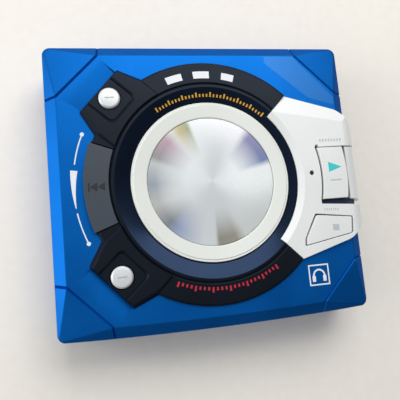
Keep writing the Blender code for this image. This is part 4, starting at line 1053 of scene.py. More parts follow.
    def grooves(self) -> list[bmesh.types.BMesh]:
        """Makes the bars of every corner groove: along the facet and down both chamfers.

        Returns:
            The cutting bars.
        """
        bars = []
        for side_x in (1, -1):
            for side_y in (1, -1):
                tip = self.corner(side_x, side_y)
                face_x = tip.x - side_x * self.chamfer
                face_y = tip.y - side_y * self.chamfer
                dip = self.groove_dip * self.form.bow if side_y < 0 else 0.0
                lean_y, lean_x = self.groove_lean
                at_side = Vector((face_x, side_y * (self.facet_sum - abs(face_x)), self.face))
                at_end = Vector((side_x * (self.facet_sum - abs(face_y)), face_y - dip, self.face))
                down_side = Vector((tip.x, at_side.y - side_y * lean_y, self.shoulder))
                down_end = Vector((at_end.x - side_x * lean_x, tip.y - dip, self.shoulder))
                for start, end in ((at_side, at_end), (at_side, down_side), (at_end, down_end)):
                    bars.append(self.bar(start, end))
        return bars

    def scoop(self, hand: int) -> bmesh.types.BMesh:
        """Makes the shallow ramp beside a volume pad.

        Args:
            hand: 1 for the rear pad, -1 for the front one.

        Returns:
            The cutting block.
        """
        start, end = self.scoop_reach
        high = self.face + self.scoop_over
        section = ((start, self.face - self.scoop_depth), (end, self.face), (end, high), (start, high))
        bm = prism(section, -self.scoop_half, self.scoop_half, Axis.Y)
        turn = Matrix.Rotation(hand * math.radians(self.scoop_angle), 3, "Z")
        bmesh.ops.rotate(bm, verts=bm.verts, matrix=turn)
        return bm

    def inside(self) -> list[bmesh.types.BMesh]:
        """Makes what the lid's hollow, the bezel's hole and the smaller openings take out.

        Returns:
            The cutting blocks.
        """
        room = self.form.block(self.low - PAST, self.cavity, self.wall)
        side, rear, front = self.ceiling_plan
        corners = ((side, rear), (-side, rear), (-side, front), (side, front))
        slant = self.facet_sum - self.facet_wall
        points: list[Point] = []
        for x, y in corners:
            ends = [(x, math.copysign(slant - abs(x), y)), (math.copysign(slant - abs(y), x), y)]
            points += ends if x * y > 0 else ends[::-1]
        ceiling = prism(points, self.cavity - PAST / 2, self.ceiling)
        slot_span, slot_levels = self.slot
        slot = prism(rectangle(self.slot_reach, slot_span), *slot_levels)
        low, high = self.cavity, self.cut_top
        holes = [drum(place, self.stem_hole, low, high, HOLE_STEPS) for place in self.stem_holes]
        holes.append(drum(self.lamp, self.lamp_hole, low, high, HOLE_STEPS))
        return [room, ceiling, drum((0, 0), self.hole, low, high, self.hole_steps), slot] + holes

    def rolled_edge(self) -> list[bmesh.types.BMesh]:
        """Makes the lip that curls about the hinge axis along the rear.

        Returns:
            The lip and its two round ends.
        """
        start, end = self.lip_turn
        outer = arc(self.barrel, start, end, self.lip_steps, self.hinge)
        inner = arc(self.barrel_bore, end, start, self.lip_steps, self.hinge)
        lip = prism(outer + inner, -self.lip_reach, self.lip_reach, Axis.X)
        return [lip] + [self.end_disc(side) for side in (1, -1)]

    def end_disc(self, side: int) -> bmesh.types.BMesh:
        """Makes the round end of the rolled edge, trimmed to the case's rounded corner.

        Args:
            side: 1 for the right, -1 for the left.

        Returns:
            The disc.
        """
        bm = bmesh.new()
        middle = side * (self.form.half_width - self.wall / 2)
        place = Matrix.Translation((middle, *self.hinge)) @ Matrix.Rotation(math.pi / 2, 4, "Y")
        bmesh.ops.create_cone(
            bm, cap_ends=True, segments=self.disc_steps, radius1=self.barrel, radius2=self.barrel,
            depth=self.wall, matrix=place,
        )
        return carved(bm, [self.form.block(*self.disc_room, self.disc_inset)], "INTERSECT")

    def build(self, shop: Workshop) -> None:
        """Builds the lid's cover and dresses it.

        Args:
            shop: The workshop.
        """
        bm = carved(self.outer(), self.inside())
        bm = carved(bm, self.rolled_edge(), "UNION")
        bm = carved(bm, self.grooves() + [self.scoop(1), self.scoop(-1)])
        nodes, slot = ("top_cover",), Slot.BLUE_SHELL
        shop.piece("top_cover_shell", bm, BLUE_LACQUER, Body.LID, nodes, self.sharp)


@dataclass
class LowerCase:
    """Blue lower case with its lower rim rounded, battery door and hold knob."""

    edge: float = 0.25
    edge_steps: int = 3
    edge_length: float = 0.3
    rim_top: float = 0.7
    crease: float = 30.0
    outside: tuple[float, float, float] = (39.2, 35.6, -35.2)

    def is_outer(self, edge: bmesh.types.BMEdge) -> bool:
        """Tells whether an edge runs round the case's underside.

        Args:
            edge: The edge.

        Returns:
            True for the edges that are rounded.
        """
        side, rear, front = self.outside
        outer = all(abs(v.co.x) > side or v.co.y > rear or v.co.y < front for v in edge.verts)
        low = all(v.co.z < self.rim_top for v in edge.verts)
        sharp = edge.is_convex and edge.calc_face_angle(0.0) > math.radians(self.crease)
        return outer and low and sharp and edge.calc_length() > self.edge_length

    def build(self, shop: Workshop) -> None:
        """Rounds the case's rim and dresses the three pieces.

        Args:
            shop: The workshop.
        """
        bm = round_edges(shop.copied("base_case"), self.edge, self.edge_steps, self.is_outer)
        shop.piece("base_case_shell", bm, BLUE_LACQUER, Body.BASE, ("base_case",))
        for node, finish, body, slot in (
            ("battery_door", BLUE_LACQUER, Body.DOOR, Slot.BLUE_SHELL),
            ("hold_knob", BLACK_ABS, Body.HOLD, Slot.BLACK_PLASTIC),
        ):
            shop.piece(f"{node}_face", shop.copied(node), finish, body, (node,))


@dataclass
class Bezel:
    """Black round moulding: dished ring, outer flat, two volume pads and the skip key's gap."""

    radius: float = 31.3
    top: float = 18.05
    under: float = 17.25
    ring_edge: float = 0.09
    shoulder: Point = (0.5, 0.5)
    flat_fall: float = 0.15
    flat_inner: float = 25.9
    groove: float = 25.55
    groove_depth: float = 0.4
    groove_wall: float = 0.3
    lip: float = 24.6
    cone_inner: float = 20.9
    cone_low: float = 17.0
    cone_rise: float = 0.295
    boss: float = 23.6
    floor: Point = (15.9, 16.5)
    band: float = 22.9
    panel_angle: float = 44.9
    key_angle: float = 20.9
    key_inner: float = 25.8
    sector_lift: float = 0.1
    pad_angle: float = 138.0
    pad_outer: float = 36.2
    pad_half: float = 7.3
    pad_root: float = 29.6
    pad_root_half: float = 9.5
    pad_inner: float = 24.0
    pad_top: float = 18.5
    pad_draft: float = 0.9
    pad_edge: float = 0.25
    pad_edge_steps: int = 4
    recess_half: float = 4.4
    recess_inner: float = 28.2
    recess_corner: float = 1.3
    recess_depth: float = 0.35
    recess_line_width: float = 0.3
    recess_slope: float = 1.2
    button_reach: float = 32.75
    button_radius: float = 2.65
    button_low: float = 17.55
    button_top: float = 19.0
    button_gap: float = 0.3
    button_wall: float = 0.45
    button_shoulder: Point = (0.4, 0.12)
    button_crown: float = 0.02
    button_edge: float = 0.12
    button_steps: int = 64
    button_sharp: float = 40.0
    sharp: float = 24.0

    def cone_height(self, radius: float) -> float:
        """Height of the dish at a radius."""
        return self.cone_low + self.cone_rise * (radius - self.cone_inner)

    def flat_height(self, radius: float) -> float:
        """Height of the outer flat at a radius."""
        run = self.radius - self.shoulder[0] - self.flat_inner
        return self.top - self.flat_fall * (radius - self.flat_inner) / run

    def ring(self) -> bmesh.types.BMesh:
        """Turns the ring.

        Returns:
            The closed ring with its floor.
        """
        floor_low, floor_high = self.floor
        run, drop = self.shoulder
        profile = (
            (0.0, floor_low),
            (self.boss, floor_low),
            (self.boss, self.under),
            (self.radius, self.under),
            (self.radius, self.top - drop),
            (self.radius - run, self.top - self.flat_fall),
            (self.flat_inner, self.top),
            (self.groove, self.top - self.groove_depth),
            (self.groove - self.groove_wall, self.top),
            (self.lip, self.cone_height(self.lip)),
            (self.cone_inner, self.cone_low),
            (self.cone_inner, floor_high),
            (0.0, floor_high),
        )
        return lathe(profile, self.ring_edge, TURN_STEPS)

    def at(self, reach: float, side: float, hand: int) -> Point:
        """Finds a point of a pad in plan.

        Args:
            reach: Its distance from the bezel's axis along the pad's own axis, in mm.
            side: Its offset across that axis, in mm.
            hand: 1 for the rear pad, -1 for the front one.

        Returns:
            The point in mm.
        """
        turn = math.radians(self.pad_angle)
        x = reach * math.cos(turn) + side * math.sin(turn)
        y = reach * math.sin(turn) - side * math.cos(turn)
        return (x, y * hand)

    def is_raised(self, edge: bmesh.types.BMEdge) -> bool:
        """Whether an edge of a pad reaches above the pad's foot."""
        return any(v.co.z > self.under + LEVEL_MATCH for v in edge.verts)

    def pad(self, hand: int) -> bmesh.types.BMesh:
        """Makes a raised volume pad with drafted sides and rounded edges.

        Args:
            hand: 1 for the rear pad, -1 for the front one.

        Returns:
            The pad.
        """
        half = ((self.pad_outer, self.pad_half), (self.pad_root, self.pad_root_half))
        half += ((self.pad_inner, self.pad_root_half),)
        outline = list(half) + [(reach, -side) for reach, side in reversed(half)]
        bm = prism([self.at(reach, side, hand) for reach, side in outline], self.under, self.pad_top)
        low = [Vector((*self.at(reach, side, hand), self.pad_top)) for reach, side in outline]
        for vert in bm.verts:
            if vert.co.z > self.pad_top - LEVEL_MATCH:
                nearest = min(range(len(low)), key=lambda i: (low[i] - vert.co).length)
                reach, side = outline[nearest]
                drawn_side = side - math.copysign(self.pad_draft, side)
                vert.co = (*self.at(reach - self.pad_draft / 2, drawn_side, hand), self.pad_top)
        round_edges(bm, self.pad_edge, self.pad_edge_steps, self.is_raised)
        bore = drum((0, 0), self.flat_inner, self.under - PAST, self.pad_top + PAST, TURN_STEPS)
        return carved(bm, [bore])

    def recess(self, hand: int, inset: float, depth: float, slope: float = 0.0) -> bmesh.types.BMesh:
        """The U-shaped recess round a volume button, open at the pad's outer end.

        Args:
            hand: 1 for the rear pad, -1 for the front one.
            inset: How far inside the recess's own edge, in mm.
            depth: Its depth below the pad's top, in mm.
            slope: How far its walls lean outwards for each mm of height.

        Returns:
            The cutting block.
        """
        past = self.pad_outer + 2 * PAST
        half = self.recess_half - inset
        near = self.recess_inner + inset
        points = [self.at(reach, side, hand) for reach, side in rectangle((near, past), (-half, half))]
        bm = prism(points, self.pad_top - depth, self.pad_top + PAST, Axis.Z, self.recess_corner)
        along, across = Vector(self.at(1.0, 0.0, hand)), Vector(self.at(0.0, 1.0, hand))
        grow = slope * (depth + PAST)
        for vert in bm.verts:
            if vert.co.z > self.pad_top:
                reach = past - (past - vert.co.xy.dot(along)) * (1 + grow / (past - near))
                vert.co.xy = self.at(reach, vert.co.xy.dot(across) * (1 + grow / half), hand)
        return bm

    def recess_line(self, hand: int) -> bmesh.types.BMesh:
        """The fine groove along the recess's edge."""
        line = self.recess(hand, 0.0, 2 * self.recess_depth)
        return carved(line, [self.recess(hand, self.recess_line_width, 3 * self.recess_depth)])

    def sector(self, inner: float, middle: float, half: float) -> bmesh.types.BMesh:
        """Makes a cutting sector, from inside the ring to beyond it.

        Args:
            inner: Its inner radius in mm.
            middle: The angle of its middle in degrees.
            half: Half the angle that it spans, in degrees.

        Returns:
            The cutting block.
        """
        start, end = middle - half, middle + half
        points = arc(self.radius + 5 * PAST, start, end, ARC_STEPS) + arc(inner, end, start, ARC_STEPS)
        return prism(points, self.cone_low + self.sector_lift, self.pad_top + PAST)

    def build(self, shop: Workshop) -> None:
        """Builds the moulding and its two buttons, and dresses them.

        Args:
            shop: The workshop.
        """
        bm = carved(self.ring(), [self.pad(1), self.pad(-1)], "UNION")
        cuts = [self.sector(self.band, 0.0, self.panel_angle)]
        cuts.append(self.sector(self.key_inner, 180.0, self.key_angle))
        for hand in (1, -1):
            cuts += [self.recess(hand, 0.0, self.recess_depth, self.recess_slope), self.recess_line(hand)]
            hole = self.button_radius + self.button_gap
            cuts.append(drum(self.button_place(hand), hole, self.cone_low, self.pad_top + PAST))
        bm, nodes, slot = carved(bm, cuts), ("ring_bezel",), Slot.BLACK_PLASTIC
        made = shop.piece("ring_bezel_face", bm, BLACK_ABS, Body.LID, nodes, self.sharp)
        made.data.materials.append(BLACK_GLOSS.material())
        for face in made.data.polygons:
            face.material_index = int(face.center.xy.length < self.lip * MM)
        for name, hand, body in (("volume_up", 1, Body.VOLUME_UP), ("volume_down", -1, Body.VOLUME_DOWN)):
            self.button(shop, name, hand, body)

    def button_place(self, hand: int) -> Point:
        """The axis of a volume button in plan."""
        return self.at(self.button_reach, 0.0, hand)

    def button(self, shop: Workshop, name: str, hand: int, body: Body) -> None:
        """Builds a domed volume button with a turned rim.

        Args:
            shop: The workshop.
            name: What the button does.
            hand: 1 for the rear pad, -1 for the front one.
            body: The body that carries it.
        """
        run, drop = self.button_shoulder
        profile = (
            (0.0, self.button_low),
            (self.button_radius, self.button_low),
            (self.button_radius, self.button_top - self.button_wall),
            (self.button_radius - run, self.button_top - drop),
            (0.0, self.button_top - self.button_crown),
        )
        place = self.button_place(hand)
        bm = lathe(profile, self.button_edge, self.button_steps, place)
        bm = carved(bm, [stem(place, self.button_low)], "UNION")
        node, slot = f"{name}_button", Slot.SATIN_ALUMINIUM
        shop.piece(f"{node}_cap", bm, CAP_METAL, body, (node,), self.button_sharp)


@dataclass
class CentrePlates:
    """Satin trim ring and spun plate in the bezel's dish."""

    low: float = 16.75
    top: float = 17.5
    ring: Point = (16.56, 20.6)
    ring_dish: float = 0.16
    ring_edge: float = 0.05
    outer_chamfer: Point = (0.12, 0.15)
    lip: Point = (0.55, 0.06)
    lip_inner: float = 0.7
    inner_chamfer: Point = (0.2, 0.12)
    plate: float = 16.5
    crown: float = 17.35
    plate_wall: float = 0.25
    plate_shoulder: Point = (0.2, 0.1)
    plate_edge: float = 0.06
    sharp: float = 4.0

    def ring_profile(self) -> tuple[Point, ...]:
        """Draws the trim ring's section: a narrow lip outside, and a face that falls inwards.

        Returns:
            Its corners as radius and height in mm.
        """
        inner, outer = self.ring
        chamfer_run, chamfer_drop = self.outer_chamfer
        inner_run, inner_drop = self.inner_chamfer
        lip_run, lip_drop = self.lip
        return (
            (inner, self.low),
            (outer, self.low),
            (outer, self.top - chamfer_drop),
            (outer - chamfer_run, self.top),
            (outer - lip_run, self.top - lip_drop),
            (outer - self.lip_inner, self.top + self.ring_dish),
            (inner + inner_run, self.top - self.ring_dish),
            (inner, self.top - self.ring_dish - inner_drop),
        )

    def plate_profile(self) -> tuple[Point, ...]:
        """Draws the plate's section, which is a little higher in the middle.

        Returns:
            Its corners as radius and height in mm.
        """
        run, drop = self.plate_shoulder
        return (
            (0.0, self.low),
            (self.plate, self.low),
            (self.plate, self.crown - self.plate_wall),
            (self.plate - run, self.crown - drop),
            (0.0, self.crown),
        )

    def build(self, shop: Workshop) -> None:
        """Turns both and dresses them.

        Args:
            shop: The workshop.
        """
        for node, profile, edge, finish, slot in (
            ("trim_ring", self.ring_profile(), self.ring_edge, SATIN_RING, Slot.SATIN_ALUMINIUM),
            ("disc_plate", self.plate_profile(), self.plate_edge, SPUN_PLATE, Slot.SPUN_ALUMINIUM),
        ):
            bm = lathe(profile, edge, TURN_STEPS)
            shop.piece(f"{node}_face", bm, finish, Body.LID, (node,), self.sharp)


@dataclass
class SkipKey:
    """Left-hand sector of the bezel, which presses in."""

    inner: float = 25.9
    outer: float = 31.9
    half_angle: float = 20.3
    low: float = 17.55
    top: float = 18.15
    edge: float = 0.15
    edge_steps: int = 3
    arc_steps: int = 40
    plunger: Point = (-28.9, 0.0)

    def build(self, shop: Workshop) -> None:
        """Builds the key with its rounded rim and dresses it.

        Args:
            shop: The workshop.
        """
        start, end = 180 - self.half_angle, 180 + self.half_angle
        points = arc(self.outer, start, end, self.arc_steps) + arc(self.inner, end, start, self.arc_steps)
        bm = round_edges(prism(points, self.low, self.top), self.edge, self.edge_steps, rim)
        bm = carved(bm, [stem(self.plunger, self.low)], "UNION")
        shop.piece("skip_key_face", bm, SLATE_SKIN, Body.SKIP, ("skip_key",))


@dataclass
class KeyPanel:
    """Silver panel laid over the lid's right side, with the play and stop keys and the slider."""

    cover: TopCover
    bezel: Bezel
    low: float = 10.0
    top: float = 18.2
    clearance: float = 0.25
    inner: float = 23.2
    inner_steps: int = 72
    angle: float = 44.5
    sharp: float = 8.0
    flank: tuple[Point, ...] = ((22.1, 21.9), (36.6, 17.7), (39.4, 15.4), (41.2, 12.6), (41.8, 10.4))
    flank_start: float = 36.0
    flank_rounding: float = 1.0
    crown: tuple[Point, ...] = ((38.4, 18.2), (40.0, 17.6), (41.2, 16.2), (41.8, 14.2), (41.6, 12.0))
    crown_start: float = 38.0
    crown_rounding: float = 0.8
    section_inner: float = 10.0
    section_half: float = 25.0
    foot: float = 40.9
    edge: float = 0.14
    panel_edge_steps: int = 12
    key_edge_steps: int = 3
    slider_edge_steps: int = 2
    band_start: Point = (18.6, 17.4)
    band_end: Point = (37.8, 14.2)
    band_slope: float = 0.17
    band_reach: float = 10.0
    dish_edge: float = 0.02
    pocket_radius: float = 29.8
    pocket_steps: int = 16
    pocket_top: float = 7.4
    pocket_outer: float = 44.0
    notch: Point = (29.5, 7.55)
    notch_radius: float = 0.45
    notch_steps: int = 24
    slot_inner: float = -8.0
    slot_outer: float = -9.1
    lamp_hole: float = 0.6
    key_low: float = 17.55
    play_ring: Point = (30.25, 37.3)
    play_span: Point = (-6.8, 7.1)
    play_steps: int = 24
    play_top: float = 18.5
    play_plunger: Point = (33.6, 0.2)
    stop_plan: tuple[Point, ...] = (
        (27.0, -10.9), (37.0, -12.0), (36.5, -16.2), (23.4, -18.5), (23.6, -16.7),
    )
    stop_corner: float = 0.4
    stop_top: float = 18.35
    stop_plunger: Point = (31.0, -14.6)
    key_gap: float = 0.5
    slider_inner: float = 37.6
    slider_outer: float = 42.8
    slider_span: Point = (-7.0, 7.1)
    slider_skew: float = 0.7
    slider_drop: float = 0.1
    slider_bore_low: float = 14.0
    slider_bore_steps: int = 240
    stem_reach: Point = (37.3, 40.8)
    stem_half: float = 2.0
    stem_z: Point = (11.2, 12.6)
    hook_share: float = 0.8
    hook: tuple[Point, ...] = ((37.3, 12.5), (37.3, 7.7), (38.6, 8.2), (38.1, 8.7), (38.1, 12.5))

    def bounded(self, bm: bmesh.types.BMesh, drop: float = 0.0) -> bmesh.types.BMesh:
        """Keeps what lies under the rounded side section and clear of the lid.

        Args:
            bm: The mesh that is worked on, which is used up.
            drop: How far the section is lowered, in mm.

        Returns:
            The bounded mesh.
        """
        bm = carved(bm, [self.side_form(drop)], "INTERSECT")
        return carved(bm, [self.cover.envelope(self.clearance)])

    def side_form(self, drop: float) -> bmesh.types.BMesh:
        """Makes the rounded side section that the panel and the slider share.

        Args:
            drop: How far it is shrunk inwards, in mm.

        Returns:
            The bounding block.
        """
        section = [(self.section_inner, self.low), (self.section_inner, self.top - drop)]
        section += [(x - drop, z - drop) for x, z in self.crown] + [(self.foot - drop, self.low)]
        half, above = self.section_half, self.low + LEVEL_MATCH
        return prism(
            section, -half, half, Axis.Y, self.crown_rounding,
            lambda co: co.x > self.crown_start and co.z > above,
        )

    def dish(self) -> bmesh.types.BMesh:
        """Makes what the bezel's dish takes off the panel's inner edge.

        Returns:
            The cutting block.
        """
        start, high = self.bezel.band - PAST, self.top + PAST
        crease = self.bezel.cone_inner + (self.top - self.bezel.cone_low) / self.bezel.cone_rise
        profile = ((start, self.bezel.cone_height(start)), (crease, self.top))
        return lathe(profile + ((crease, high), (start, high)), self.dish_edge, TURN_STEPS)

    def band(self) -> bmesh.types.BMesh:
        """Makes what the sloping band along the panel's rear edge takes off.

        Returns:
            The cutting wedge.
        """
        reach = self.band_reach
        drop = self.band_slope * reach
        high = self.top + drop
        points = ((0.0, self.top), (reach, self.top - drop), (reach, high), (0.0, high))
        bm = prism(points, -reach, 3 * reach, Axis.X)
        along = Vector(self.band_end) - Vector(self.band_start)
        turn = Matrix.Rotation(math.atan2(along.y, along.x), 3, "Z")
        bmesh.ops.rotate(bm, verts=bm.verts, matrix=turn)
        bmesh.ops.translate(bm, verts=bm.verts, vec=(*self.band_start, 0.0))
        return bm

    def pocket(self) -> bmesh.types.BMesh:
        """Makes the opening of the play key and the slider, with the slot below them.

        Returns:
            The cutting block.
        """
        start = math.degrees(math.asin(self.pocket_top / self.pocket_radius))
        end = math.degrees(math.asin(self.play_span[0] / self.pocket_radius))
        points = arc(self.pocket_radius, start, end, self.pocket_steps)
        points.append((points[-1][0], self.slot_inner))
        points += [(self.pocket_outer, y) for y in (self.slot_outer, self.pocket_top)]
        return prism(points, self.low - PAST, self.top + PAST)

    def stop(self, grow: float, low: float, high: float) -> bmesh.types.BMesh:
        """Makes the stop key's five-sided form.

        Args:
            grow: How far its corners are moved outwards, in mm.
            low: Its lower level in mm.
            high: Its upper level in mm.

        Returns:
            The block.
        """
        corners = [Vector(point) for point in self.stop_plan]
        middle = sum(corners, Vector((0.0, 0.0))) / len(corners)
        grown = [tuple(corner + (corner - middle).normalized() * grow) for corner in corners]
        return prism(grown, low, high, Axis.Z, self.stop_corner)

    def build(self, shop: Workshop) -> None:
        """Builds the panel and its keys, and dresses them.

        Args:
            shop: The workshop.
        """
        upper = list(self.flank)
        lower = [(x, -y) for x, y in upper]
        points = arc(self.inner, self.angle, -self.angle, self.inner_steps) + lower + upper[::-1]
        low, high = self.low - PAST, self.top + PAST
        bm = prism(points, low, high, Axis.Z, self.flank_rounding, lambda co: co.x > self.flank_start)
        cuts = [self.dish(), self.band(), self.pocket(), self.stop(self.key_gap, low, high)]
        cuts.append(drum(self.cover.lamp, self.lamp_hole, self.low, high, HOLE_STEPS))
        cuts.append(drum(self.notch, self.notch_radius, low, high, self.notch_steps))
        bm = cleaned(carved(self.bounded(bm), cuts))
        round_edges(bm, self.edge, self.panel_edge_steps, rim)
        nodes, slot = ("control_panel",), Slot.SILVER_PLASTIC
        shop.piece("control_panel_face", bm, SILVER_PAINT, Body.LID, nodes, self.sharp)
        self.keys(shop)
        self.slider(shop)

    def keys(self, shop: Workshop) -> None:
        """Builds the play and stop keys with rounded rims.

        Args:
            shop: The workshop.
        """
        inner, outer = self.play_ring
        low_y, high_y = self.play_span
        points = []
        for radius, start, end in ((outer, low_y, high_y), (inner, high_y, low_y)):
            turns = [math.degrees(math.asin(y / radius)) for y in (start, end)]
            points += arc(radius, turns[0], turns[1], self.play_steps)
        play = prism(points, self.key_low, self.play_top)
        stop = self.stop(0.0, self.key_low, self.stop_top)
        for node, bm, plunger, body in (
            ("play_key", play, self.play_plunger, Body.PLAY),
            ("stop_key", stop, self.stop_plunger, Body.STOP),
        ):
            round_edges(bm, self.edge, self.key_edge_steps, rim)
            key = carved(bm, [stem(plunger, self.key_low)], "UNION")
            shop.piece(f"{node}_face", key, SILVER_PAINT, body, (node,))

    def slider(self, shop: Workshop) -> None:
        """Builds the opening slider, its stem through the wall and its hook inside.

        Args:
            shop: The workshop.
        """
        low_y, high_y = self.slider_span
        inner, outer = self.slider_inner, self.slider_outer
        plan = ((inner, low_y), (outer, low_y - self.slider_skew), (outer, high_y), (inner, high_y))
        bm = self.bounded(prism(plan, self.low - PAST, self.top + PAST), self.slider_drop)
        bore = drum((0, 0), inner, self.slider_bore_low, self.top + PAST, self.slider_bore_steps)
        bm = cleaned(carved(bm, [bore]))
        round_edges(bm, self.edge, self.slider_edge_steps, rim)
        half = self.stem_half
        bar = prism(rectangle(self.stem_reach, (-half, half)), *self.stem_z)
        hook = prism(self.hook, -self.hook_share * half, self.hook_share * half, Axis.Y)
        bm = carved(bm, [bar, hook], "UNION")
        shop.piece("open_slider_face", bm, SILVER_PAINT, Body.SLIDER, ("open_slider",))


@dataclass
class PaintedShadeSheet:
    """Painted shade: thin dark sheets on the lid under the keys that darken the gaps round them."""

    cover: TopCover
    bezel: Bezel
    skip: SkipKey
    panel: KeyPanel
    lift: float = 0.02
    thick: float = 0.07
    stem_room: float = 1.45
    stem_cut: Point = (14.0, 19.0)
    pocket_plan: tuple[Point, ...] = ((28.9, -8.6), (39.4, -9.4), (39.4, 8.2), (28.9, 8.2))
    slot_x: Point = (39.5, 41.0)
    slot_y: Point = (-10.0, -6.0)
    slot_low: float = 10.5
    stop_grow: float = 1.0
    skip_angle: float = 1.3
    skip_inset: Point = (0.2, 0.3)
    button_cover: float = 3.4

    def skin(self, bm: bmesh.types.BMesh) -> bmesh.types.BMesh:
        """Keeps what lies in a thin layer over the cover."""
        bm = carved(bm, [self.cover.envelope(self.lift + self.thick)], "INTERSECT")
        return carved(bm, [self.cover.envelope(self.lift)])

    def bored(self, bm: bmesh.types.BMesh, hole: Point) -> bmesh.types.BMesh:
        """Cuts the room for a key's stem."""
        return carved(bm, [drum(hole, self.stem_room, *self.stem_cut, HOLE_STEPS)])

    def under_skip(self, low: float, high: float) -> bmesh.types.BMesh:
        """Makes the sector under the skip key.

        Args:
            low: Its lower level in mm.
            high: Its upper level in mm.

        Returns:
            The sheet.
        """
        half = self.skip.half_angle
        start, end = 180 - half - self.skip_angle, 180 + half + self.skip_angle
        inner, outer = self.skip.inner - self.skip_inset[0], self.skip.outer - self.skip_inset[1]
        return prism(arc(outer, start, end, ARC_STEPS) + arc(inner, end, start, ARC_STEPS), low, high)

    def build(self, shop: Workshop) -> None:
        """Lays a sheet of painted shade under every key and in the slider's slot.

        Args:
            shop: The workshop.
        """
        low, high = self.cover.face + self.lift, self.cover.face + self.lift + self.thick
        pocket = self.skin(prism(self.pocket_plan, self.cover.shoulder, high + PAST))
        slot = self.skin(prism(rectangle(self.slot_x, self.slot_y), self.slot_low, high + PAST))
        stop = self.panel.stop(self.stop_grow, low, high)
        # Painted shade: navy in the pocket and the slot, black under the stop and skip keys and buttons
        parts = [
            ("pocket", PAINTED_SHADE_NAVY, self.bored(pocket, self.panel.play_plunger)),
            ("slot", PAINTED_SHADE_NAVY, slot),
            ("stop", BLACK_ABS, self.bored(stop, self.panel.stop_plunger)),
            ("skip", BLACK_ABS, self.bored(self.under_skip(low, high), self.skip.plunger)),
        ]
        for name, hand in (("volume_up", 1), ("volume_down", -1)):
            place = self.bezel.button_place(hand)
            disc = drum(place, self.button_cover, low, high)
            parts.append((name, BLACK_ABS, self.bored(disc, place)))
        for name, finish, bm in parts:
            shop.piece(f"{name}_painted_shade_sheet", bm, finish, Body.LID)


@dataclass(frozen=True)
class TickScale:
    """A printed scale about the bezel's axis: angles in degrees, lengths in mm."""

    radius: float
    start: float
    end: float
    count: int
    width: float
    height: float
    every: int = 4
    short: float = 0.62

    def ticks(self) -> list[list[Point]]:
        """Draws the ticks, of which every fourth one has the full height.

        Returns:
            Their outlines in plan.
        """
        half = math.degrees(self.width / self.radius) / 2
        drawn = []
        for i in range(self.count):
            middle = self.start + (self.end - self.start) * i / (self.count - 1)
            height = self.height if i % self.every == 0 else self.short * self.height
            foot = self.radius - (self.height - height) / 2
            drawn.append(stroke(foot, (middle - half, middle + half), (height, height)))
        return drawn


